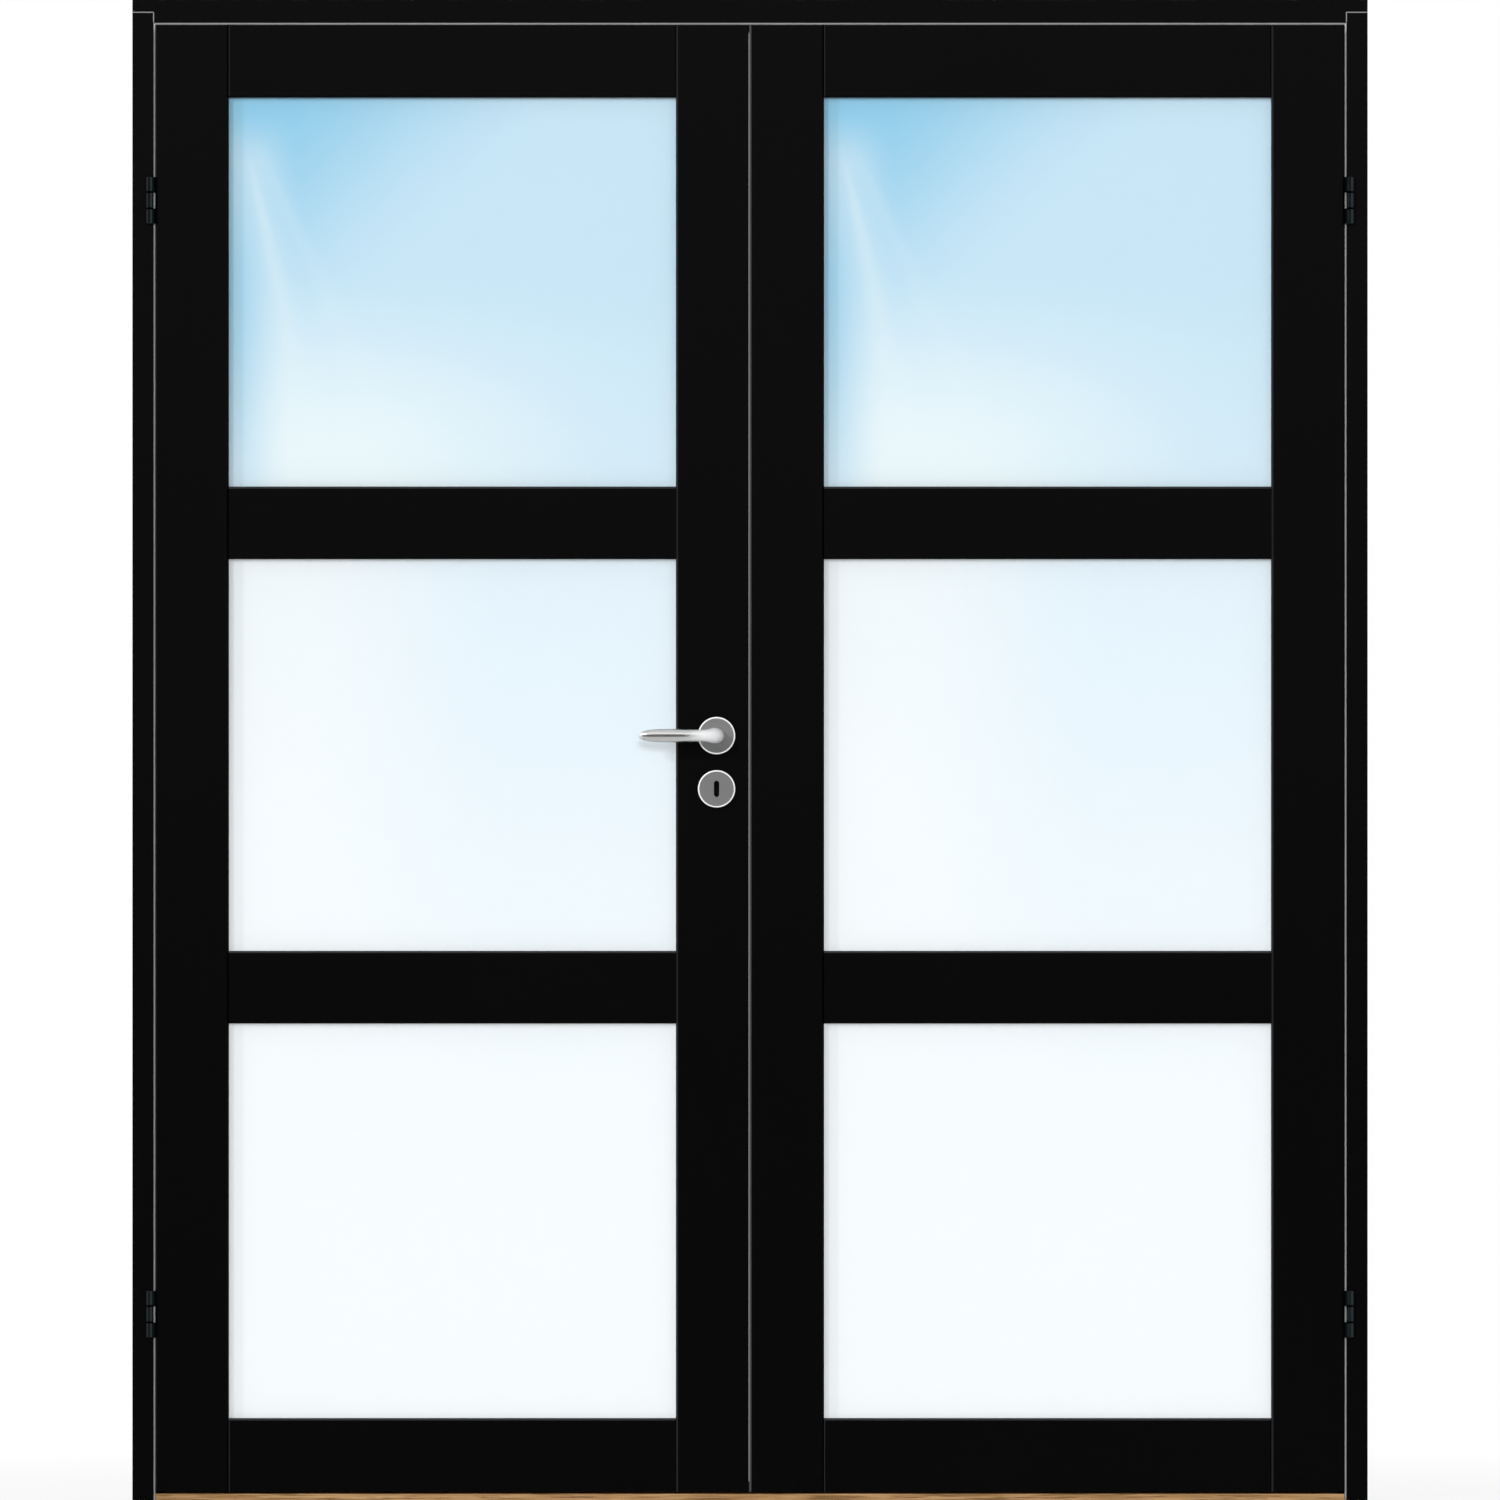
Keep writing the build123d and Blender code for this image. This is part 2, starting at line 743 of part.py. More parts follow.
def tumblers():
    """The lever pack in the middle of the case, on its pivot pin."""
    half = tumbler_thickness / 2
    pin_x = spindle_x - tumbler_pin_offset
    pin_z = key_z - keyhole_height / 2 + tumbler_pin_rise
    pack = block(
        pin_x - 2 * tumbler_pin_radius,
        spindle_x + keyhole_width / 2 + tumbler_margin,
        leaf_middle - half,
        leaf_middle + half,
        key_z - keyhole_height / 2 - tumbler_drop,
        key_z + keyhole_height / 2,
    )
    pack = fillet(pack.edges().filter_by(Axis.Y), tumbler_corner)
    y0, y1 = leaf_middle - case_inner, leaf_middle + case_inner
    return pack + rod_y(pin_x, pin_z, y0, y1, tumbler_pin_radius)


# Handle set: modelled on the front face of the leaf, and mirrored to the back.
def to_back(shape):
    return mirror(shape, about=Plane.XZ.offset(-leaf_middle))


def spindle_bar(clearance):
    half = spindle_side / 2 + clearance
    reach = spindle_reach + clearance
    return block(
        spindle_x - half,
        spindle_x + half,
        front - reach,
        leaf_back + reach,
        spindle_z - half,
        spindle_z + half,
    )


def rose_shell(z):
    """A thin pressed cap with a rounded rim."""
    cap = rod_y(spindle_x, z, front - rose_height, front, rose_radius)
    rim = cap.edges().filter_by(GeomType.CIRCLE).sort_by(Axis.Y)[0]
    cap = fillet(rim, rose_rim)
    return cap - rod_y(spindle_x, z, front - rose_height + rose_wall, front, rose_radius - rose_wall)


def rose():
    hole = rod_y(spindle_x, spindle_z, front - rose_height, front, neck_radius + neck_gap)
    return rose_shell(spindle_z) - hole


def escutcheon():
    hole = slot_y(spindle_x, key_z, front - rose_height, front, keyhole_width, keyhole_height)
    return rose_shell(key_z) - hole


def relieved_keyhole(y0, y1):
    width = keyhole_width + 2 * keyhole_relief
    return slot_y(spindle_x, key_z, y0, y1, width, keyhole_height + 2 * keyhole_relief)


def handle_base(z, hole):
    """The screwed disc under a rose or an escutcheon."""
    disc = rod_y(spindle_x, z, front - base_height, front, rose_radius - rose_wall - base_play)
    return disc - hole


def handle_bases():
    """Front bases take the threads of the bolts, and back bases take their heads."""
    collar = rod_y(spindle_x, spindle_z, front - base_height, front, collar_radius + running_clearance)
    slot = relieved_keyhole(front - base_height, front)
    blanks = {spindle_z: handle_base(spindle_z, collar), key_z: handle_base(key_z, slot)}
    bases = []
    for z, blank in blanks.items():
        for sign in (-1, 1):
            bolt_z = z + sign * handle_bolt_spacing / 2
            thread = rod_y(spindle_x, bolt_z, front - handle_bolt_thread, front, handle_bolt_radius)
            blank = blank - thread
        bases.append(blank)
    for z, blank in blanks.items():
        other = to_back(blank)
        for sign in (-1, 1):
            bolt_z = z + sign * handle_bolt_spacing / 2
            outer = leaf_back + base_height
            hole = rod_y(spindle_x, bolt_z, leaf_back, outer, handle_bolt_radius + handle_bolt_play)
            seat_radius = handle_bolt_head_radius + handle_bolt_play
            seat = rod_y(spindle_x, bolt_z, outer - handle_bolt_head, outer, seat_radius)
            other = other - hole - seat
        bases.append(other)
    return bases


def handle_bolt(z):
    outer = leaf_back + base_height
    head = rod_y(spindle_x, z, outer - handle_bolt_head, outer, handle_bolt_head_radius)
    return head + rod_y(spindle_x, z, front - handle_bolt_thread, outer, handle_bolt_radius)


def grip_section(x, height, depth, y):
    """An ellipse across the grip."""
    plane = Plane(origin=(x, y, spindle_z), x_dir=(0, 0, 1), z_dir=(-1, 0, 0))
    return plane * Ellipse(height / 2, depth / 2)


def lever():
    """A neck, an elbow and a grip that swells and then closes to a rounded tip."""
    neck_end = front - neck_length
    grip_y = neck_end - elbow_radius
    start = Plane(origin=(spindle_x, neck_end, spindle_z), x_dir=(0, 0, 1), z_dir=(0, -1, 0))
    neck = start * Ellipse(neck_radius, neck_radius - neck_oval)
    sections = [neck]
    for degrees, height, depth in elbow_sections:
        turn = radians(degrees)
        centre = (
            spindle_x - elbow_radius * (1 - cos(turn)),
            neck_end - elbow_radius * sin(turn),
            spindle_z,
        )
        plane = Plane(origin=centre, x_dir=(0, 0, 1), z_dir=(-sin(turn), -cos(turn), 0))
        sections.append(plane * Ellipse(height / 2, depth / 2))
    for share, height, depth in grip_sections:
        sections.append(grip_section(spindle_x - lever_length * share, height, depth, grip_y))
    for share in tip_sections:
        close = sqrt(1 - ((share - tip_start) / (1 - tip_start)) ** 2)
        height, depth = grip_height * close, grip_depth * close
        sections.append(grip_section(spindle_x - lever_length * share, height, depth, grip_y))
    shape = loft([section.faces()[0] for section in sections])
    shape += extrude(neck, neck_length - base_height - neck_gap, dir=(0, 1, 0))
    shape += rod_y(spindle_x, spindle_z, front - base_height - neck_gap, front, collar_radius)
    return shape - spindle_bar(spindle_clearance)


# Leaf
pane_bottoms = [leaf_bottom + bottom_rail]
pane_tops = [pane_bottoms[0] + bottom_pane]
pane_bottoms.append(pane_tops[0] + mid_rail)
pane_tops.append(pane_bottoms[1] + middle_pane)
pane_bottoms.append(pane_tops[1] + mid_rail)
pane_tops.append(leaf_top - top_rail)
panes = list(zip(pane_bottoms, pane_tops))
glass_front = front + front_lip
glass_back = glass_front + glass_thickness


def leaf_envelope():
    """The outside of a leaf: broken edges in front, and the meeting edge leaning back."""
    outline = [
        (hinge_edge, front),
        (meeting_edge, front),
        (edge_x(leaf_back), leaf_back),
        (hinge_edge, leaf_back),
    ]
    whole = prism_z(outline, leaf_bottom, leaf_top)
    return chamfer(whole.faces().sort_by(Axis.Y)[0].edges(), arris)


def pane_rebates():
    rebates = []
    for bottom, top in panes:
        x0, x1 = inner_left - rebate_cover, inner_right + rebate_cover
        rebates.append(block(x0, x1, glass_front, leaf_back, bottom - rebate_cover, top + rebate_cover))
    return rebates


def rail(z0, z1, chamfer_bottom, chamfer_top, grooved):
    """A rail with chamfers towards its panes, and a tenon at each end."""
    low, high = chamfer_bottom * pane_chamfer, chamfer_top * pane_chamfer
    outline = [(front, z0 + low), (front + low, z0)] if low else [(front, z0)]
    outline += [(leaf_back, z0), (leaf_back, z1)]
    outline += [(front + high, z1), (front, z1 - high)] if high else [(front, z1)]
    wood = prism_x(outline, inner_left, inner_right)
    if grooved:
        wood = chamfer(wood.edges().filter_by(Axis.Z).group_by(Axis.Y)[0], rail_end_chamfer)
    return wood + tenons(z0, z1)


def tenons(z0, z1):
    return block(
        inner_left - tenon_length,
        inner_right + tenon_length,
        leaf_middle + tenon_shoulder / 2 - tenon_thickness,
        leaf_middle + tenon_shoulder / 2,
        z0 + tenon_shoulder,
        z1 - tenon_shoulder,
    )


def stile(outer, inner):
    """A stile with its chamfer towards the panes, all the way up."""
    toward = 1 if inner < outer else -1
    outline = [
        (outer, front),
        (inner + toward * pane_chamfer, front),
        (inner, front + pane_chamfer),
        (inner, leaf_back),
        (outer, leaf_back),
    ]
    return prism_z(outline, leaf_bottom, leaf_top)


rail_heights = {
    "top_rail": (pane_tops[2], leaf_top),
    "upper_mid_rail": (pane_tops[1], pane_bottoms[2]),
    "lower_mid_rail": (pane_tops[0], pane_bottoms[1]),
    "bottom_rail": (leaf_bottom, pane_bottoms[0]),
}


def leaf_members(hinge_cuts, lock_cuts):
    """The stiles and rails of one leaf, with what is let into them cut out."""
    envelope = leaf_envelope()
    rebates = pane_rebates()
    mortises = [tenons(*heights) for heights in rail_heights.values()]
    hinge_side = stile(hinge_edge, inner_left) & envelope
    meeting_side = stile(meeting_edge, inner_right) & envelope
    members = {
        "hinge_stile": cut(hinge_side, rebates + mortises + hinge_cuts),
        "meeting_stile": cut(meeting_side, rebates + mortises + lock_cuts),
    }
    for name, (z0, z1) in rail_heights.items():
        ends = name in ("top_rail", "bottom_rail")
        wood = rail(z0, z1, name != "bottom_rail", name != "top_rail", ends)
        members[name] = cut(wood & envelope, rebates)
    return members


def glass(bottom, top):
    reach = rebate_cover - glass_play
    x0, x1 = inner_left - reach, inner_right + reach
    return block(x0, x1, glass_front, glass_back, bottom - reach, top + reach)


def beads(bottom, top):
    """Four mitred beads that hold a pane in from the back."""
    x0, x1 = inner_left - rebate_cover, inner_right + rebate_cover
    z0, z1 = bottom - rebate_cover, top + rebate_cover
    w = rebate_cover
    outlines = [
        [(x0, z0), (x1, z0), (x1 - w, z0 + w), (x0 + w, z0 + w)],
        [(x0, z1), (x1, z1), (x1 - w, z1 - w), (x0 + w, z1 - w)],
        [(x0, z0), (x0, z1), (x0 + w, z1 - w), (x0 + w, z0 + w)],
        [(x1, z0), (x1, z1), (x1 - w, z1 - w), (x1 - w, z0 + w)],
    ]
    centre = Vector((x0 + x1) / 2, leaf_back, (z0 + z1) / 2)
    made = []
    for outline in outlines:
        face = make_face(Polyline(*[(x, glass_back, z) for x, z in outline], close=True))
        bead = extrude(face, leaf_back - glass_back, dir=(0, 1, 0))
        inner = bead.edges().group_by(Axis.Y)[-1].sort_by_distance(centre)[0]
        made.append(chamfer(inner, bead_chamfer))
    return made


# Build and write the frame
all_frame_screws = []
mortise_tools = []
frame_halves = []
for height in hinge_heights:
    place = hinge_place(height)
    screws = frame_hinge_screws()
    frame_halves.append(place * frame_hinge_half(screws))
    all_frame_screws += [place * item for item in screws]
    mortise_tools.append(place * let_in_plate(frame_plate[0], 0))

seal_groove = block(-rebate_edge - seal_root, -rebate_edge, seal_front, seal_back, 0, head_under)
jamb_tools = [seal_groove, *mortise_tools, *all_frame_screws]
jamb_tools += [sleeve_hole(z) for z in fixing_heights()]
jamb = cut(jamb_blank(), jamb_tools)
save("left_jamb", jamb)
save("right_jamb", mirrored(jamb))

head_keeper_blank, head_keeper, head_keeper_screws = keeper(head_under, 1, plate_screw_length)
sill_keeper_blank, sill_keeper, sill_keeper_screws = keeper(threshold_lip, -1, sill_screw_length)
upper_throw = flush_travel_up - gap + pocket_end_play
head_tools = [head_keeper_blank, bar_hole(head_under, head_under + upper_throw), *head_keeper_screws]
head_groove = block(
    -rebate_edge, rebate_edge, seal_front, seal_back, head_under, head_under + seal_root
)
save("head", cut(head_blank(), [mirrored(tool) for tool in head_tools] + [head_groove]))
sill_tools = [sill_keeper_blank, bar_hole(0, threshold_lip), *sill_keeper_screws]
save("threshold", cut(threshold_blank(), [mirrored(tool) for tool in sill_tools]))

left_seal = jamb_seal(mortise_tools)
save("frame_seals", left_seal, mirrored(left_seal), head_seal())
sleeves = [wall_sleeve(z) for z in fixing_heights()]
save("wall_sleeves", *sleeves, *[mirrored(item) for item in sleeves])
save("bolt_keepers", mirrored(head_keeper), mirrored(sill_keeper))
for name, half in zip(("upper", "lower"), frame_halves):
    save(f"left_{name}_hinge_frame_half", half)
    save(f"right_{name}_hinge_frame_half", mirrored(half))
pins = [hinge_place(height) * hinge_pin() for height in hinge_heights]
save("hinge_pins", *pins, *[mirrored(pin) for pin in pins])
keeper_screws = [mirrored(item) for item in head_keeper_screws + sill_keeper_screws]
save(
    "frame_screws",
    *all_frame_screws,
    *[mirrored(item) for item in all_frame_screws],
    *keeper_screws,
)

# Build and write what both leaves share
leaf_screws = []
leaf_halves = []
plate_recesses = []
for height in hinge_heights:
    place = hinge_place(height)
    screws = leaf_hinge_screws()
    leaf_halves.append(place * leaf_hinge_half(screws))
    leaf_screws += [place * item for item in screws]
    plate_recesses.append(place * let_in_plate(*leaf_plate))
for name, half in zip(("upper", "lower"), leaf_halves):
    save(f"left_{name}_hinge_leaf_half", half)
    save(f"right_{name}_hinge_leaf_half", mirrored(half))
hinge_cuts = plate_recesses + leaf_screws

for name, (bottom, top) in zip(("bottom", "middle", "top"), panes):
    pane = glass(bottom, top)
    save(f"left_{name}_glass", pane)
    save(f"right_{name}_glass", mirrored(pane))
all_beads = [bead for bottom, top in panes for bead in beads(bottom, top)]
save("left_glazing_beads", *all_beads)
save("right_glazing_beads", *[mirrored(bead) for bead in all_beads])

# Build and write the left leaf, with the lock and the handle set
lock_cuts = [case_mortise(), forend_blank(), *forend_screws()]
lock_cuts.append(rod_y(spindle_x, spindle_z, front, leaf_back, bore_radius))
lock_cuts.append(relieved_keyhole(front, leaf_back))
lock_cuts += [
    rod_y(spindle_x, z, front, leaf_back, handle_bolt_radius + handle_bolt_play)
    for z in handle_bolt_heights
]
for name, member in leaf_members(hinge_cuts, lock_cuts).items():
    save(f"left_{name}", member)
save("lock_case", lock_case())
save("lock_forend", lock_forend())
save("tumblers", tumblers())
save("latch_bolt", latch_bolt())
save("deadbolt", deadbolt())
save("front_rose", rose())
save("back_rose", to_back(rose()))
save("front_escutcheon", escutcheon())
save("back_escutcheon", to_back(escutcheon()))
save("handle_bases", *handle_bases())
save("handle_bolts", *[handle_bolt(z) for z in handle_bolt_heights])
front_lever = lever()
save("front_lever", front_lever)
save("back_lever", to_back(front_lever))
save("spindle", spindle_bar(0))
save("follower", follower())
save("left_leaf_screws", *leaf_screws, *forend_screws())

# Build and write the right leaf, with its strike plate, seal and flush bolts
ends = [(leaf_top, 1, flush_travel_up), (leaf_bottom, -1, flush_travel_down)]
meeting_groove = edge_slab(0, seal_root, seal_front, seal_back, leaf_bottom, leaf_top)
meeting_cuts = [strike_blank(), *strike_screws(), *strike_pockets(), meeting_groove]
flush_screws = []
for end, sign, travel in ends:
    flush_screws += [flush_foot_screw(end, sign), flush_plate_screw(end, sign)]
    meeting_cuts += flush_pocket(end, sign)
meeting_cuts += flush_screws
for name, member in leaf_members(hinge_cuts, meeting_cuts).items():
    save(f"right_{name}", mirrored(member))
save("strike_plate", mirrored(cut(strike_blank(), strike_pockets() + strike_screws())))
nose_reach = -edge_x(seal_front) - meeting_play - edge_x(seal_back)
meeting_nose = seal_z(edge_x(seal_back), nose_reach, leaf_bottom, leaf_top)
save("meeting_seal", mirrored(meeting_groove + meeting_nose))
save("bolt_plates", *[mirrored(bolt_plate(*item)) for item in ends])
save("upper_flush_bolt", mirrored(flush_bar(leaf_top, 1)))
save("lower_flush_bolt", mirrored(flush_bar(leaf_bottom, -1)))
right_screws = leaf_screws + strike_screws() + flush_screws
save("right_leaf_screws", *[mirrored(item) for item in right_screws])

print("frame", 2 * half_width, "x", frame_height, "x", frame_depth)
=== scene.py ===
import bpy
import numpy as np
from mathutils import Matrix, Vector


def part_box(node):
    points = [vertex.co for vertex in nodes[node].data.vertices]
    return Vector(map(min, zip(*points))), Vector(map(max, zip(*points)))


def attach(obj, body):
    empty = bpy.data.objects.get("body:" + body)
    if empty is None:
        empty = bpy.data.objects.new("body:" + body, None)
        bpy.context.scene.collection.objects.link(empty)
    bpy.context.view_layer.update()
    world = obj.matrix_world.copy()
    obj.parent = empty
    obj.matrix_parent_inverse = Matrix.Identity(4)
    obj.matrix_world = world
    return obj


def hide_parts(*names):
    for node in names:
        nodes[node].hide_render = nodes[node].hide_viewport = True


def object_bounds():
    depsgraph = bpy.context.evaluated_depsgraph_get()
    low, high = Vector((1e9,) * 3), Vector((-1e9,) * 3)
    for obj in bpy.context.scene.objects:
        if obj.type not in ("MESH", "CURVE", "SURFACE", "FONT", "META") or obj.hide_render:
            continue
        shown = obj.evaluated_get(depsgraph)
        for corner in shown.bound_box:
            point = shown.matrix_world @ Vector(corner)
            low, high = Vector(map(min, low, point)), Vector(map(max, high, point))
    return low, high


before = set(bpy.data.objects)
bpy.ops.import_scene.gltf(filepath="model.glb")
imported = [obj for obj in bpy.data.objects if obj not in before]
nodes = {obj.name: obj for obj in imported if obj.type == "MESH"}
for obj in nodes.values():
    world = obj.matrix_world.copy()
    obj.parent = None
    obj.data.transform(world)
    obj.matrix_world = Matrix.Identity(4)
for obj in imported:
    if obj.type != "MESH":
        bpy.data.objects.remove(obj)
cadBox = [list(corner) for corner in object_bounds()]
print("frame loaded:", len(nodes), "nodes")


class Wire:
    # one socket of a material, so that shader maths reads as an ordinary expression
    def __init__(self, finish, socket):
        self.finish, self.socket = finish, socket

    def maths(self, operation, *values, clamp=False):
        settings = {"operation": operation, "use_clamp": clamp}
        return self.finish.node("Math", settings, dict(enumerate(values)))

    def __add__(self, other):
        return self.maths("ADD", self, other)

    def __radd__(self, other):
        return self.maths("ADD", other, self)

    def __sub__(self, other):
        return self.maths("SUBTRACT", self, other)

    def __rsub__(self, other):
        return self.maths("SUBTRACT", other, self)

    def __mul__(self, other):
        return self.maths("MULTIPLY", self, other)

    def __truediv__(self, other):
        return self.maths("DIVIDE", self, other)

    def __pow__(self, other):
        return self.maths("POWER", self, other)

    def __neg__(self):
        return self.maths("MULTIPLY", self, -1.0)

    def unit(self):  # kept between 0 and 1
        return self.maths("ADD", self, 0.0, clamp=True)

    def size(self):  # without its sign
        return self.maths("ABSOLUTE", self)

    def least(self, other):
        return self.maths("MINIMUM", self, other)

    def most(self, other):
        return self.maths("MAXIMUM", self, other)

    def ease(self, low, high, start=0.0, end=1.0):  # smooth step from start at low to end at high
        settings = {"interpolation_type": "SMOOTHSTEP"}
        return self.finish.node("MapRange", settings, {0: self, 1: low, 2: high, 3: start, 4: end})


class Finish:
    # one material: node() adds any node, and the rest are short forms of it
    def __init__(self, name, tree=None):
        if tree is None:
            self.material = bpy.data.materials.new(name)
            self.material.use_nodes = True
            tree = self.material.node_tree
        self.tree = tree
        self.tree.nodes.clear()

    def node(self, kind, settings=None, sockets=None, output=0):
        made = self.tree.nodes.new("ShaderNode" + kind)
        for name, value in (settings or {}).items():
            setattr(made, name, value)
        for key, value in (sockets or {}).items():
            if isinstance(value, Wire):
                self.tree.links.new(value.socket, made.inputs[key])
            else:
                made.inputs[key].default_value = value
        return Wire(self, made.outputs[output]) if made.outputs else None

    def place(self, stretch=(1.0, 1.0, 1.0)):  # Object coordinates, stretched for grain
        spot = self.node("TexCoord", output="Object")
        return self.node("Mapping", sockets={"Vector": spot, "Scale": stretch})

    def axes(self):
        parts = self.node("SeparateXYZ", sockets={0: self.node("TexCoord", output="Object")})
        return [Wire(self, parts.socket.node.outputs[index]) for index in range(3)]

    def facing(self):  # how far a face looks along X, Y and Z of its own object
        parts = self.node("SeparateXYZ", sockets={0: self.node("TexCoord", output="Normal")})
        return [Wire(self, parts.socket.node.outputs[index]) for index in range(3)]

    def noise(self, scale, detail=3.0, rough=0.5, stretch=(1.0, 1.0, 1.0)):
        sockets = {"Vector": self.place(stretch), "Scale": scale, "Detail": detail, "Roughness": rough}
        return self.node("TexNoise", {"noise_dimensions": "3D"}, sockets)

    def blend(self, share, low, high):  # colours, as (r, g, b) or wires
        sockets = {0: share, 6: self.colour(low), 7: self.colour(high)}
        return self.node("Mix", {"data_type": "RGBA"}, sockets, output=2)

    def colour(self, value):
        return value if isinstance(value, Wire) else (*value, 1.0)

    def bump(self, height, depth, strength=1.0, under=None):
        sockets = {"Height": height, "Distance": depth, "Strength": strength}
        if under is not None:
            sockets["Normal"] = under
        return self.node("Bump", sockets=sockets)

    def surface(self, **sockets):
        named = {key.replace("_", " "): value for key, value in sockets.items()}
        shader = self.node("BsdfPrincipled", sockets=named)
        self.node("OutputMaterial", sockets={0: shader})
        return self.material


def screenColour(red, green, blue):
    # a colour as a screen shows it, 0 to 255, worked out as linear light
    share = np.array([red, green, blue]) / 255.0
    light = np.where(share <= 0.04045, share / 12.92, ((share + 0.055) / 1.055) ** 2.4)
    return tuple(float(part) for part in light)


def dress(names, material):
    for name in names:
        mesh = nodes[name].data
        mesh.materials.clear()
        mesh.materials.append(material)


def skin(rings):
    # rings is a grid of points, one row round the form at each place along it. Neighbouring rows
    # are joined by four-sided faces, and a point in the middle of each end row closes that end.
    count, around = rings.shape[:2]
    points = np.concatenate([rings.reshape(-1, 3), rings[:1].mean(axis=1), rings[-1:].mean(axis=1)])
    row, step = np.meshgrid(np.arange(count - 1), np.arange(around), indexing="ij")
    after = (step + 1) % around
    quads = np.stack([
        row * around + step, row * around + after,
        (row + 1) * around + after, (row + 1) * around + step,
    ], axis=-1).reshape(-1, 4)
    turn = np.arange(around)
    following = (turn + 1) % around
    last = (count - 1) * around
    firstCap = np.stack([following, turn, np.full(around, count * around)], axis=-1)
    lastCap = np.stack([last + turn, last + following, np.full(around, count * around + 1)], axis=-1)
    triangles = np.concatenate([firstCap, lastCap, quads[:, [0, 1, 2]], quads[:, [0, 2, 3]]])
    corner = points[triangles]
    volume = np.einsum("ij,ij->i", corner[:, 0], np.cross(corner[:, 1], corner[:, 2])).sum()
    faces = [quads, firstCap, lastCap]
    if volume < 0:
        faces = [group[:, ::-1] for group in faces]
    return points, [face for group in faces for face in group.tolist()]


def addPiece(name, shapes, material, body):
    # one object from several closed skins
    points, faces, shift = [], [], 0
    for shapePoints, shapeFaces in shapes:
        points.append(shapePoints)
        faces += [[index + shift for index in face] for face in shapeFaces]
        shift += len(shapePoints)
    mesh = bpy.data.meshes.new(name)
    mesh.from_pydata(np.concatenate(points).tolist(), [], faces)
    mesh.polygons.foreach_set("use_smooth", [True] * len(mesh.polygons))
    mesh.materials.append(material)
    piece = bpy.data.objects.new(name, mesh)
    bpy.context.scene.collection.objects.link(piece)
    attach(piece, body)
    return piece


# Black satin paint, laid on with a roller over planed pine. The brush marks follow the wood.
paint = {
    # painted shade: the tone runs from low, darker at the floor, to high at the top of the frame
    "low": (3.5, 3.5, 4),  # at the floor
    "high": (12, 12, 12.5),  # at the top of the frame
    # painted highlight and painted shade on the chamfers round the panes
    "paintedHighlightEdge": (51, 52, 55),
    "paintedShadeEdge": (3, 3, 4),
    "leftShare": 0.75,  # how lit a chamfer that looks left is, against one that looks up
    "height": 2.088,
    "cloudScale": 2.3,  # soft clouds in the tone
    "cloudShare": 0.25,
    "roughness": 0.30,
    "sheenLevel": 0.05,
    "grainScale": 200.0,
    "grainStretch": 0.035,
    "rollerScale": 900.0,
    "grainDepth": 0.00006,
    "rollerDepth": 0.00003,
}


def makePaint(name, along):
    finish = Finish(name)
    z = finish.axes()[2]
    stretch = tuple(paint["grainStretch"] if axis == along else 1.0 for axis in "xyz")
    grain = finish.noise(paint["grainScale"], 4.0, 0.6, stretch)
    cloud = finish.noise(paint["cloudScale"], 2.0, 0.5)
    roller = finish.noise(paint["rollerScale"], 2.0, 0.5)
    # painted shade: darker towards the floor, lighter towards the top, with soft clouds in the tone
    share = (z / paint["height"] + (cloud - 0.5) * paint["cloudShare"]).unit()
    flat = finish.blend(share, screenColour(*paint["low"]), screenColour(*paint["high"]))
    nx, ny, nz = finish.facing()  # ny is 1 on the broad faces, 0.7 on a chamfer, 0 on an edge
    chamfered = ny.size().ease(0.25, 0.5) * ny.size().ease(0.97, 0.86)
    # painted highlight on chamfers that look up or to the left, painted shade on those that look right
    # or down
    paintedHighlightShare = nz.most(nx * -paint["leftShare"]).ease(0.2, 0.75)
    edge = finish.blend(paintedHighlightShare, screenColour(*paint["paintedShadeEdge"]), screenColour(*paint["paintedHighlightEdge"]))
    base = finish.blend(chamfered, flat, edge)
    rough = paint["roughness"] + (grain - 0.5) * 0.08 + (roller - 0.5) * 0.06
    coarse = finish.bump(grain, paint["grainDepth"], 0.5)
    fine = finish.bump(roller, paint["rollerDepth"], 0.5, coarse)
    return finish.surface(
        Base_Color=base, Roughness=rough, Specular_IOR_Level=paint["sheenLevel"], Normal=fine,
    )


uprights = ["left_jamb", "right_jamb"]
uprights += [f"{side}_{name}" for side in ("left", "right") for name in ("hinge_stile", "meeting_stile")]
acrosses = ["head"] + [
    f"{side}_{name}" for side in ("left", "right")
    for name in ("top_rail", "upper_mid_rail", "lower_mid_rail", "bottom_rail")
]
beadNodes = ["left_glazing_beads", "right_glazing_beads"]
paintUpright = makePaint("blackPaintUpright", "z")
paintAcross = makePaint("blackPaintAcross", "x")
dress(uprights, paintUpright)
dress(acrosses, paintAcross)
dress(beadNodes, paintAcross)
print("paint done")

# Oak threshold, oiled, with the grain running across the doorway.
oak = {
    "pale": (184, 146, 101),
    "mid": (142, 106, 66),
    "dark": (106, 76, 42),
    "roughness": 0.5,
    "ringScale": 150.0,
    "ringStretch": 0.05,
    "ringContrast": 3.6,
    "warpShare": 0.6,
    "midShift": 0.15,
    "poreScale": 620.0,
    "poreStretch": 0.03,
    "poreStart": 0.52,
    "poreFull": 0.66,
    "poreDark": 0.8,
    "relief": 0.00012,
}


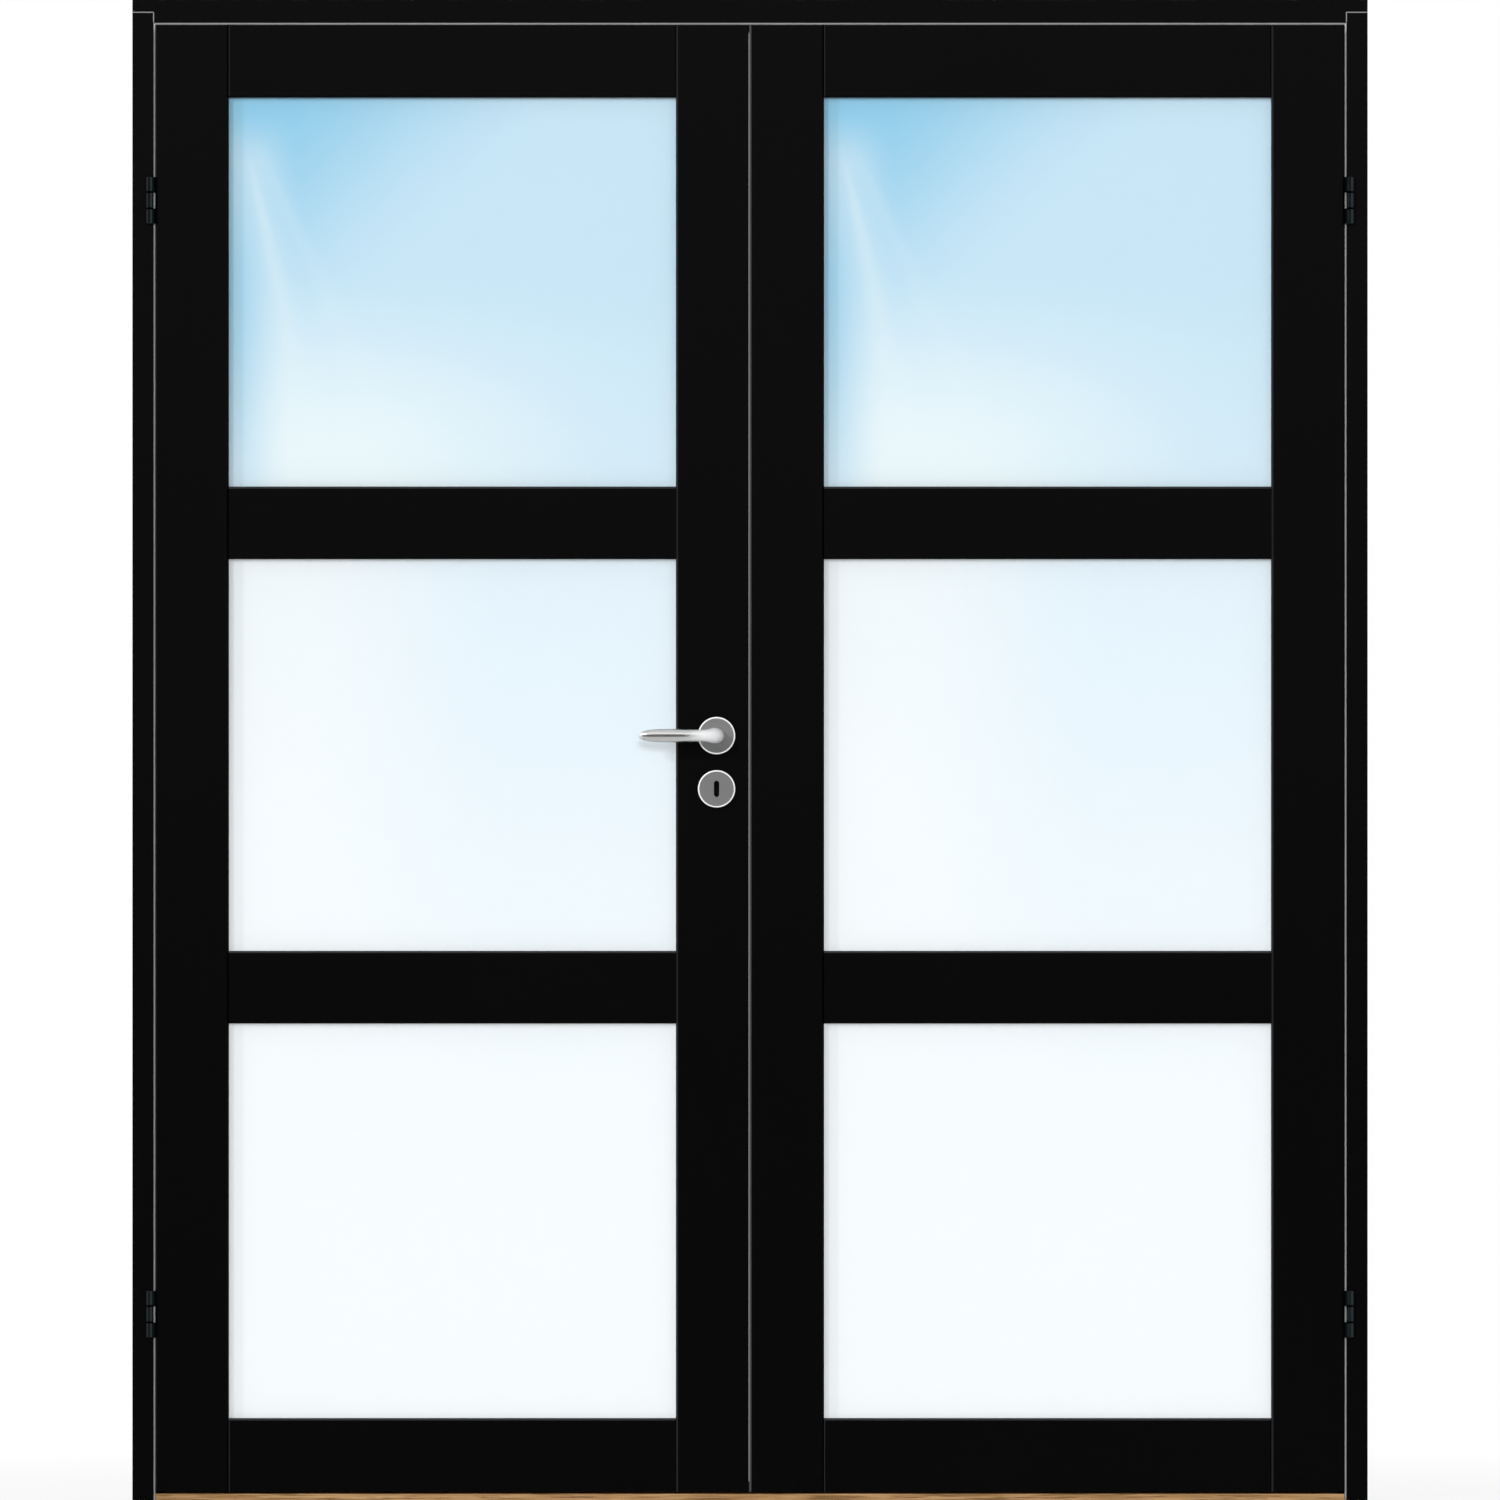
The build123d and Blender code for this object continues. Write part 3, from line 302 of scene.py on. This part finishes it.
def makeOak():
    finish = Finish("oiledOak")
    warp = finish.noise(2.2, 3.0, 0.5, (1.0, 6.0, 6.0))
    rings = finish.noise(oak["ringScale"], 5.0, 0.62, (oak["ringStretch"], 1.0, 1.0))
    pores = finish.noise(oak["poreScale"], 2.0, 0.5, (oak["poreStretch"], 1.0, 1.0))
    flame = ((rings - 0.5) * oak["ringContrast"] + warp * oak["warpShare"] + oak["midShift"]).unit()
    streak = pores.ease(oak["poreStart"], oak["poreFull"])
    wood = finish.blend(flame, screenColour(*oak["pale"]), screenColour(*oak["mid"]))
    base = finish.blend(streak * oak["poreDark"], wood, screenColour(*oak["dark"]))
    rough = oak["roughness"] + streak * 0.18 + (rings - 0.5) * 0.1
    relief = finish.bump(rings * 0.3 - streak, oak["relief"], 0.6)
    return finish.surface(Base_Color=base, Roughness=rough, Specular_IOR_Level=0.3, Normal=relief)


dress(["threshold"], makeOak())

# Clear float glass, coloured with a painted reflection of a soft sky, strongest in the upper panes, with
# painted highlight rays from one corner.
glazing = {
    "sky": (145, 211, 241),
    "pale": (204, 235, 251),
    "ray": (222, 243, 252),
    "foot": (237, 251, 255),
    "cool": (228, 245, 255),
    "clear": (245, 252, 255),
    "paneTop": 1.9515,  # of the top pane
    "paneFoot": 1.4105,
    "leafBottom": 0.1145,
    "rebate": 0.010,  # how far the pane reaches under the wood on each side
    "rayStart": 0.01,  # how far across the pane the rays start
    "beams": [(0.20, 0.07, 0.28), (0.40, 0.09, 0.16)],  # slope, half width, strength
    "glowStart": 0.036,  # the wide soft beam down the left side: where it starts and how it leans
    "glowLean": 0.08,
    "glowWidth": 0.12,
    "glowStrength": 0.56,
    "stripStart": 0.12,  # the blue strip at the left edge, across the pane, and how it leans
    "stripFull": -0.03,
    "stripLean": 0.03,
    "stripStrength": 0.72,
    "veilStart": 0.024,  # the shadow of the stile on the far face: metres from the left edge
    "veilFull": 0.0165,
    "veilDepth": 0.09,
    "bandStart": 0.0078,  # the darker shadow of the stile on the near face
    "bandFull": 0.0064,
    "bandDepth": 0.08,
    "strongAlpha": 0.78,
    "weakAlpha": 0.42,
}


def makeGlass(name, paneLeft, paneWidth):
    finish = Finish(name)
    x, _, z = finish.axes()
    across = (x - paneLeft) / paneWidth  # 0 at the left of the pane, 1 at its right
    top = glazing["paneTop"]
    depth = (top - z) / (top - glazing["paneFoot"])  # 1 at the foot of the top pane
    down = (top - z) / (top - glazing["leafBottom"])  # 1 at the foot of the leaf
    wander = finish.noise(3.2, 2.0, 0.5, (1.0, 1.0, 0.5)) - 0.5
    # painted reflection: blue sky from the upper left, with painted highlight rays, a wide soft beam and
    # a blue strip down the left edge
    corner = (across + depth * 0.9 + wander * 0.1).ease(0.80, 0.10)  # blue from the upper left
    sky = finish.blend(corner, screenColour(*glazing["pale"]), screenColour(*glazing["sky"]))
    aside = (across - depth * glazing["glowLean"] - glazing["glowStart"] + wander * 0.02).size()
    paintedRays = aside.ease(glazing["glowWidth"], 0.0) * depth.ease(0.8, 0.45) * glazing["glowStrength"]
    slope = (across - glazing["rayStart"]) / (depth + 0.02).most(0.02)  # the same all along a ray
    for middle, half, strength in glazing["beams"]:
        beam = (slope - middle + wander * 0.05).size().ease(half, 0.0)
        paintedRays = beam * depth.ease(0.08, 0.34) * strength + paintedRays
    paintedRays = paintedRays.unit() * depth.ease(0.02, 0.18)
    lit = finish.blend(paintedRays, sky, screenColour(*glazing["ray"]))
    foot = depth.ease(0.42, 0.92) * across.ease(0.95, 0.25, 0.25, 1.0)
    washed = finish.blend(foot, lit, screenColour(*glazing["foot"]))
    leaning = across + wander * 0.02 - depth * glazing["stripLean"]
    strip = leaning.ease(glazing["stripStart"], glazing["stripFull"])
    strip = strip * depth.ease(0.15, 0.50) * depth.ease(1.5, 0.6)
    edged = finish.blend(strip * glazing["stripStrength"], washed, screenColour(*glazing["sky"]))
    # a fainter painted reflection in the lower panes: cool blue towards the right, clear glass elsewhere
    cool = down.ease(0.86, 0.40) * across.ease(0.15, 0.65, 0.12, 1.0)
    lower = finish.blend(cool, screenColour(*glazing["clear"]), screenColour(*glazing["cool"]))
    whole = finish.blend(depth.ease(1.0, 1.12), edged, lower)
    edge = x - paneLeft
    veil = edge.ease(glazing["veilStart"], glazing["veilFull"]) * glazing["veilDepth"]
    veil = edge.ease(glazing["bandStart"], glazing["bandFull"]) * glazing["bandDepth"] + veil
    base = finish.blend(veil, whole, (0.0, 0.0, 0.0))
    alpha = down.ease(0.05, 0.60, glazing["strongAlpha"], glazing["weakAlpha"])
    rough = 0.03 + finish.noise(7.0, 2.0, 0.5) * 0.03
    return finish.surface(Base_Color=base, Roughness=rough, Alpha=alpha, Specular_IOR_Level=0.35)


for side in ("left", "right"):
    panes = [f"{side}_{name}_glass" for name in ("top", "middle", "bottom")]
    low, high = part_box(panes[0])
    rebate = glazing["rebate"]
    dress(panes, makeGlass(f"{side}FloatGlass", low.x + rebate, high.x - low.x - 2 * rebate))
print("glass and oak done")

# Metals: dark hinges, zinc-plated fittings and screws, and a darker steel for the lock case.
metals = {
    "hinge": {"tone": (47, 54, 57), "roughness": 0.24, "grain": 1500.0, "relief": 0.00002},
    "zinc": {"tone": (188, 190, 193), "roughness": 0.36, "grain": 900.0, "relief": 0.00003},
    "lock": {"tone": (60, 61, 63), "roughness": 0.5, "grain": 900.0, "relief": 0.00003},
}
metalSpread = {"darker": 0.88, "lighter": 1.10, "cloudScale": 60.0}

# The joints between a hinge's knuckles, and the strap beside them.
knuckleJoint = {
    "centres": (1.8085, 0.2595),
    "offset": 0.01135,  # from a hinge's centre to each joint between its knuckles
    "dark": 0.0010,  # half height of the dark line, and where it ends
    "fade": 0.0018,
    "barrelEdge": 0.8290,  # nearer the middle of the doors than this, the strap is nearly black
    "strapBlur": 0.001,
    "strapDark": 0.9,
}


def makeMetal(name, key, stretch=(1.0, 1.0, 1.0)):
    looks = metals[key]
    finish = Finish(name)
    grain = finish.noise(looks["grain"], 3.0, 0.6, stretch)
    cloud = finish.noise(metalSpread["cloudScale"], 3.0, 0.55)
    tone = np.array(screenColour(*looks["tone"]))
    share = (grain * 0.7 + cloud * 0.3).ease(0.30, 0.70)
    lighter = np.minimum(tone * metalSpread["lighter"], 1.0)
    base = finish.blend(share, tuple(tone * metalSpread["darker"]), tuple(lighter))
    rough = looks["roughness"] + (grain - 0.5) * 0.10 + (cloud - 0.5) * 0.05
    relief = finish.bump(grain, looks["relief"], 0.6)
    if key == "hinge":  # painted shade in the joints between the knuckles, and the strap nearer the middle of the doors darkened nearly to black
        z = finish.axes()[2]
        low, high = [(z - centre).size() for centre in knuckleJoint["centres"]]
        away = (low.least(high) - knuckleJoint["offset"]).size()
        barrelEdge = knuckleJoint["barrelEdge"]
        strap = finish.axes()[0].size().ease(barrelEdge, barrelEdge - knuckleJoint["strapBlur"])
        joint = away.ease(knuckleJoint["fade"], knuckleJoint["dark"])
        jointShadeAndDarkStrap = joint.most(strap * knuckleJoint["strapDark"])
        base = finish.blend(jointShadeAndDarkStrap, base, (0.0, 0.0, 0.0))
    return finish.surface(Base_Color=base, Metallic=1.0, Roughness=rough, Normal=relief)


# The discs round the handle and the keyhole: speckled satin faces inside a rim that is a painted
# highlight, plain white and not metallic.
disc = {
    "roseFace": (186, 186, 186),
    "keyholeFace": (182, 182, 183),
    "rim": (255, 255, 255),
    "speckDark": 0.3,
    "faceRoughness": 0.42,
    "rimRoughness": 0.30,
    "rimStart": 0.0237,
    "rimEnd": 0.0243,
    "centreX": -0.0465,
    "roseZ": 1.064,
    "keyholeZ": 0.990,
    "raisedFrom": 0.036,  # above the keyhole's centre, where the rose's tone begins
    "raisedFull": 0.038,
    "speckScale": 2600.0,
    "relief": 0.00004,
}


def makeDisc():
    finish = Finish("satinSteelDisc")
    x, _, z = finish.axes()
    sideways = x - disc["centreX"]
    upwards = (z - disc["roseZ"]).size().least((z - disc["keyholeZ"]).size())
    radius = (sideways * sideways + upwards * upwards) ** 0.5
    rim = radius.ease(disc["rimStart"], disc["rimEnd"])
    speck = finish.noise(disc["speckScale"], 3.0, 0.6)
    # painted light: the rose's face is lighter than the keyhole's, against the shade of the lever
    paintedRoseLight = z.ease(disc["keyholeZ"] + disc["raisedFrom"], disc["keyholeZ"] + disc["raisedFull"])
    tone = finish.blend(paintedRoseLight, screenColour(*disc["keyholeFace"]), screenColour(*disc["roseFace"]))
    face = finish.blend(speck.ease(0.7, 0.3) * disc["speckDark"], tone, (0.0, 0.0, 0.0))
    # painted highlight: the rim is plain white
    base = finish.blend(rim, face, screenColour(*disc["rim"]))
    rough = rim * (disc["rimRoughness"] - disc["faceRoughness"]) + disc["faceRoughness"]
    rough = rough + (speck - 0.5) * 0.14
    relief = finish.bump(speck * (1.0 - rim), disc["relief"], 0.6)
    return finish.surface(Base_Color=base, Metallic=1.0 - rim, Roughness=rough, Normal=relief)


# The satin steel of the levers: brushed along the grip, and duller round the neck.
satin = {
    "tone": (236, 236, 235),
    "darker": 0.90,
    "lighter": 1.08,
    "neckTone": (234, 234, 235),
    "neckMetal": 0.08,
    "gripRoughness": 0.20,
    "neckRoughness": 0.5,
    "neckEnd": 0.012,  # metres out from the spindle's axis
    "gripStart": 0.050,
    "tipStart": 0.100,  # the polish fades out again towards the tip
    "tipEnd": 0.109,
    "grainScale": 900.0,
    "relief": 0.000004,
}


def makeSatin():
    finish = Finish("satinSteelLever")
    grain = finish.noise(satin["grainScale"], 3.0, 0.6, (0.06, 1.0, 1.0))
    out = disc["centreX"] - finish.axes()[0]
    grip = out.ease(satin["neckEnd"], satin["gripStart"]) * out.ease(satin["tipEnd"], satin["tipStart"])
    tone = np.array(screenColour(*satin["tone"]))
    lighter = np.minimum(tone * satin["lighter"], 1.0)
    brushed = finish.blend(grain.ease(0.30, 0.70), tuple(tone * satin["darker"]), tuple(lighter))
    base = finish.blend(grip, screenColour(*satin["neckTone"]), brushed)
    metal = grip * (1.0 - satin["neckMetal"]) + satin["neckMetal"]
    rough = grip * (satin["gripRoughness"] - satin["neckRoughness"]) + satin["neckRoughness"]
    rough = rough + (grain - 0.5) * 0.08
    relief = finish.bump(grain, satin["relief"], 0.6)
    return finish.surface(Base_Color=base, Metallic=metal, Roughness=rough, Normal=relief)


steelLever = makeSatin()
steelHinge = makeMetal("darkHingeSteel", "hinge", (1.0, 1.0, 0.2))
zinc = makeMetal("zincPlate", "zinc", (1.0, 1.0, 0.15))
dress(["front_lever", "back_lever"], steelLever)
dress(["front_rose", "back_rose", "front_escutcheon", "back_escutcheon"], makeDisc())
hinges = [name for name in nodes if "hinge_frame_half" in name or "hinge_leaf_half" in name]
dress(hinges + ["hinge_pins"], steelHinge)
dress([
    "lock_forend", "handle_bases", "handle_bolts", "spindle", "follower",
    "latch_bolt", "deadbolt", "strike_plate", "bolt_plates", "bolt_keepers", "wall_sleeves",
    "upper_flush_bolt", "lower_flush_bolt", "frame_screws", "left_leaf_screws", "right_leaf_screws",
], zinc)
dress(["lock_case", "tumblers"], makeMetal("darkLockSteel", "lock"))

# Sealing strips of one soft rubber in lit and shaded copies: the frame seals are painted lighter against
# the shade in their gaps, the top seal lighter still against the head's shadow, and the meeting seal
# between the two leaves is painted darker as painted shade.
rubber = {
    "frameTone": (168, 169, 170),
    "topPaintedLight": (222, 223, 224),
    "topFrom": 2.040,
    "topFull": 2.050,
    "meetingTone": (88, 89, 91),
    "roughness": 0.62,
    "speckScale": 1800.0,
    "cloudScale": 9.0,
    "speckDark": 0.16,
    "relief": 0.00003,
}


def makeRubber(name, shade, topLitTone):
    finish = Finish(name)
    speck = finish.noise(rubber["speckScale"], 2.0, 0.5)
    cloud = finish.noise(rubber["cloudScale"], 2.0, 0.5)
    # painted light: the top seal turns lighter, against the shadow of the head
    top = finish.axes()[2].ease(rubber["topFrom"], rubber["topFull"])
    tone = finish.blend(top, screenColour(*shade), screenColour(*topLitTone))
    shadow = (speck * 0.5 + cloud * 0.5).unit() * rubber["speckDark"]
    base = finish.blend(shadow, tone, (0.0, 0.0, 0.0))
    rough = rubber["roughness"] + (speck - 0.5) * 0.12
    relief = finish.bump(speck, rubber["relief"], 0.5)
    return finish.surface(Base_Color=base, Roughness=rough, Specular_IOR_Level=0.3, Normal=relief)


frameSealPaintedLight = makeRubber("frameSealPaintedLight", rubber["frameTone"], rubber["topPaintedLight"])
meetingSealPaintedShade = makeRubber("meetingSealPaintedShade", rubber["meetingTone"], rubber["meetingTone"])
dress(["frame_seals"], frameSealPaintedLight)
dress(["meeting_seal"], meetingSealPaintedShade)
print("metals and rubber done")

# The lever handles. Distances in metres from the spindle's axis or along the handle's middle line.
lever = {
    "axisX": -0.0465,
    "axisZ": 1.064,
    "neckStart": -0.0523,  # y, inside the rose
    "neckEnd": -0.0777,
    "elbow": 0.019,
    "length": 0.1095,
    "across": [
        0.0, 0.005, 0.010, 0.015, 0.021, 0.030, 0.044, 0.058,
        0.072, 0.083, 0.0925, 0.0994, 0.105, 0.1078, 0.1095,
    ],
    # the handle's full height and depth at each of those, in millimetres
    "heights": [21.5, 21.0, 18.4, 16.6, 16.0, 16.4, 17.9, 19.0, 19.0, 18.7, 17.0, 14.2, 10.2, 6.7, 0.4],
    "depths": [21.5, 20.2, 17.6, 15.6, 14.0, 13.3, 12.6, 12.1, 11.9, 11.6, 10.8, 9.3, 6.9, 4.6, 0.3],
    "neckPower": 2.0,  # an ellipse
    "gripPower": 1.96,  # less than 2 draws the front into a faint ridge
    "ridgeStart": 0.012,
    "ridgeEnd": 0.045,
    "rings": 220,
    "crowding": 1.35,  # more than 1 crowds the rings together towards the tip
    "round": 72,
    "leafMiddle": -0.026,
}


def leverRings():
    # the middle line runs out along the neck, round a quarter circle and along the grip. Across it
    # stand ellipse-like rings: cosine and sine, each raised to 2 / power and kept in sign. The power
    # eases from that of the neck to that of the grip by a smooth step.
    turnLength = np.pi / 2 * lever["elbow"]
    neckLength = lever["neckStart"] - lever["neckEnd"]
    gripLength = lever["length"] - lever["elbow"]
    total = neckLength + turnLength + gripLength
    share = np.linspace(0.0, 1.0, lever["rings"])
    along = total * (1.0 - (1.0 - share) ** lever["crowding"])
    turn = np.clip((along - neckLength) / turnLength, 0.0, 1.0) * np.pi / 2
    outward = np.minimum(along, neckLength) + lever["elbow"] * np.sin(turn)
    across = lever["elbow"] * (1.0 - np.cos(turn)) + np.maximum(along - neckLength - turnLength, 0.0)
    centre = np.stack([
        lever["axisX"] - across, lever["neckStart"] - outward, np.full(lever["rings"], lever["axisZ"]),
    ], axis=-1)
    sideways = np.stack([np.cos(turn), -np.sin(turn), np.zeros_like(turn)], axis=-1)
    # half sizes in metres
    heights = smoothRead(across, lever["heights"]) / 2000.0
    depths = smoothRead(across, lever["depths"]) / 2000.0
    angle = np.linspace(0.0, 2 * np.pi, lever["round"], endpoint=False)
    part = np.clip((across - lever["ridgeStart"]) / (lever["ridgeEnd"] - lever["ridgeStart"]), 0.0, 1.0)
    power = lever["neckPower"] + (lever["gripPower"] - lever["neckPower"]) * part**2 * (3 - 2 * part)
    bend = 2.0 / power[:, None]
    wide = np.sign(np.cos(angle)) * np.abs(np.cos(angle)) ** bend
    tall = np.sign(np.sin(angle)) * np.abs(np.sin(angle)) ** bend
    rings = centre[:, None, :] + sideways[:, None, :] * (depths[:, None] * wide)[:, :, None]
    rings[:, :, 2] += heights[:, None] * tall
    return rings


def smoothRead(spots, values):
    # reads a table of sizes against the distance across, along cubics that leave each entry with
    # the mean slope of its two neighbours
    knots, values = np.array(lever["across"]), np.array(values)
    slopes = np.gradient(values, knots)
    slopes[-1] = (values[-1] - values[-2]) / (knots[-1] - knots[-2]) * 1.5
    slopes[0] = 0.0
    index = np.clip(np.searchsorted(knots, spots) - 1, 0, len(knots) - 2)
    gap = knots[index + 1] - knots[index]
    part = (spots - knots[index]) / gap
    return (
        values[index] * (2 * part**3 - 3 * part**2 + 1)
        + slopes[index] * gap * (part**3 - 2 * part**2 + part)
        + values[index + 1] * (3 * part**2 - 2 * part**3)
        + slopes[index + 1] * gap * (part**3 - part**2)
    )


def makeLevers():
    front = leverRings()
    back = front * (1.0, -1.0, 1.0) + (0.0, 2 * lever["leafMiddle"], 0.0)
    for name, rings, node in (("front_grip", front, "front_lever"), ("back_grip", back, "back_lever")):
        piece = addPiece(name, [skin(rings)], steelLever, "lever")
        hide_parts(node)


makeLevers()
print("lever handles done")

# A fine bead of filler shows where each jamb is lapped under the head.
lapJoint = {
    "outerX": 0.8589,
    "innerX": 0.8295,
    "jambTop": 2.070,
    "headUnder": 2.0557,
    "faceY": -0.046,
    "radius": 0.0007,
    "proud": 0.35,  # how far the bead stands out, as a share of its radius
    "steps": 9,
    "round": 12,
    "tone": (150, 151, 152),
}


def beadRun(start, end, radius):
    # a thin run from start to end: the points stand on flattened circles round a straight line
    run = np.array(end) - start
    line = np.linspace(0.0, 1.0, lapJoint["steps"])[:, None] * run + start
    sideways = np.cross(run / np.linalg.norm(run), (0.0, 1.0, 0.0))
    angle = np.linspace(0.0, 2 * np.pi, lapJoint["round"], endpoint=False)
    outward = np.array((0.0, lapJoint["proud"], 0.0))
    offset = np.cos(angle)[:, None] * sideways + np.sin(angle)[:, None] * outward
    return skin(line[:, None, :] + offset[None, :, :] * radius)


def makeLapJoints():
    filler = makeRubber("jointFiller", lapJoint["tone"], lapJoint["tone"])
    for side, sign in (("left", -1), ("right", 1)):
        y = lapJoint["faceY"]
        outer = (sign * lapJoint["outerX"], y, lapJoint["jambTop"])
        corner = (sign * lapJoint["innerX"], y, lapJoint["jambTop"])
        inner = (sign * lapJoint["innerX"], y, lapJoint["headUnder"])
        runs = [beadRun(outer, corner, lapJoint["radius"]), beadRun(corner, inner, lapJoint["radius"])]
        addPiece(f"{side}_lap_joint", runs, filler, "frame")


makeLapJoints()
print("lap joints done")

# Studio: pale floor, white all round with a dark patch behind the camera, a key from the upper
# left, a soft front light and a weak rim light.
studio = {
    "distance": 40.0,
    "viewHeight": 2.0862,  # a hair less than the doors, so that they reach the edges of the view
    "eyeHeight": 1.044,
    "frontBehind": 0.058,  # from the front of the levers back to the front of the frame
    "sensor": 36.0,
    "clipNear": 0.1,
    "clipFar": 200.0,
    "ambient": 0.40,
    "keyStrength": 0.72,
    "keyAngle": 0.012,
    "keyFrom": (-0.55, -1.0, 0.43),
    "frontStrength": 1.41,
    "frontAngle": 0.16,
    "frontFrom": (0.0, -1.0, 0.18),
    "rimStrength": 0.3,
    "rimAngle": 0.5,
    "rimFrom": (-0.9, -0.35, 0.9),
    "darkSide": 0.10,
    "darkHeight": 0.20,  # half height of the dark patch, and how far up and down it fades out
    "darkFade": 0.38,
    "darkRight": 0.25,
    "darkLeft": -0.87,
    "darkBlur": 0.12,
    "darkTurn": 0.3,  # how fast the patch fades in towards the camera's side
    "rightLevel": 0.8,  # how bright mirrors see the right, and from where it fades to that
    "rightStart": 0.25,
    "rightEnd": 0.95,
    "skyLevel": 0.62,  # how bright the sky above is in mirrors, and from where up it fades to that
    "skyStart": 0.40,
    "skyEnd": 0.80,
    "floorReach": 3.2,
    "floorLevel": -0.0004,  # just under the doors, so that the two never share a face
    "floorTone": 0.88,
    "floorGlow": 0.88,  # how white the camera sees the floor, even in shadow
    "floorFade": 0.9,
}


def makeWorld():
    world = bpy.data.worlds.new("studioWorld")
    bpy.context.scene.world = world
    world.use_nodes = True
    finish = Finish("", world.node_tree)
    path = finish.node("LightPath")
    seen = [Wire(finish, path.socket.node.outputs[name]) for name in
            ("Is Camera Ray", "Is Transmission Ray", "Is Glossy Ray")]
    spot = finish.node("TexCoord", output="Generated")
    parts = finish.node("SeparateXYZ", sockets={0: spot})
    wx, wy, wz = [Wire(finish, parts.socket.node.outputs[index]) for index in range(3)]
    card = wz.size().ease(studio["darkFade"], studio["darkHeight"]) * (-wy).ease(0.0, studio["darkTurn"])
    card = card * wx.ease(studio["darkRight"] + studio["darkBlur"], studio["darkRight"])
    card = card * wx.ease(studio["darkLeft"] - studio["darkBlur"], studio["darkLeft"])
    mirror = 1.0 - card * (1.0 - studio["darkSide"])
    mirror = mirror * wx.ease(studio["rightStart"], studio["rightEnd"], 1.0, studio["rightLevel"])
    mirror = mirror * wz.ease(studio["skyStart"], studio["skyEnd"], 1.0, studio["skyLevel"])
    plain = seen[0].most(seen[1])
    level = plain + (1.0 - plain) * (seen[2] * mirror + (1.0 - seen[2]) * studio["ambient"])
    light = finish.node("Background", sockets={"Color": (1.0, 1.0, 1.0, 1.0), "Strength": level})
    finish.node("OutputWorld", sockets={0: light})


def makeFloor():
    # a flat square under the doors, which turns white to the camera away from them
    reach = studio["floorReach"]
    mesh = bpy.data.meshes.new("floorSheet")
    level = studio["floorLevel"]
    corners = [(x * reach, y * reach, level) for x, y in ((-1, -1), (1, -1), (1, 1), (-1, 1))]
    mesh.from_pydata(corners, [], [(0, 1, 2, 3)])
    floor = bpy.data.objects.new("floorSheet", mesh)
    bpy.context.scene.collection.objects.link(floor)
    finish = Finish("paleFloor")
    path = finish.node("LightPath")
    x, y, _ = finish.axes()
    away = ((x * x + y * y) ** 0.5).ease(studio["floorFade"], reach)
    tone = studio["floorTone"]
    matt = finish.node("BsdfDiffuse", sockets={"Color": (tone, tone, tone, 1.0)})
    glow = finish.node("Emission", sockets={"Color": (1.0, 1.0, 1.0, 1.0), "Strength": 1.0})
    share = path * (away * (1.0 - studio["floorGlow"]) + studio["floorGlow"])
    both = finish.node("MixShader", sockets={0: share, 1: matt, 2: glow})
    finish.node("OutputMaterial", sockets={0: both})
    mesh.materials.append(finish.material)


def makeSun(name, glossy=True):
    lamp = bpy.data.lights.new(name + "Sun", "SUN")
    lamp.energy, lamp.angle = studio[name + "Strength"], studio[name + "Angle"]
    sun = bpy.data.objects.new(name + "Sun", lamp)
    sun.rotation_euler = Vector(studio[name + "From"]).to_track_quat("Z", "Y").to_euler()
    sun.visible_glossy = glossy
    bpy.context.scene.collection.objects.link(sun)


def makeCamera():
    lens = bpy.data.cameras.new("frontCamera")
    lens.sensor_width = studio["sensor"]
    frontFace = cadBox[0][1] + studio["frontBehind"]
    lens.lens = studio["sensor"] * (studio["distance"] + frontFace) / studio["viewHeight"]
    lens.clip_start, lens.clip_end = studio["clipNear"], studio["clipFar"]
    camera = bpy.data.objects.new("frontCamera", lens)
    camera.location = (0.0, -studio["distance"], studio["eyeHeight"])
    camera.rotation_euler = (np.pi / 2, 0.0, 0.0)
    bpy.context.scene.collection.objects.link(camera)
    bpy.context.scene.camera = camera


makeWorld()
makeFloor()
makeSun("key")
makeSun("front", glossy=False)
makeSun("rim")
makeCamera()
bpy.context.scene.view_settings.view_transform = "Standard"
print("studio done")
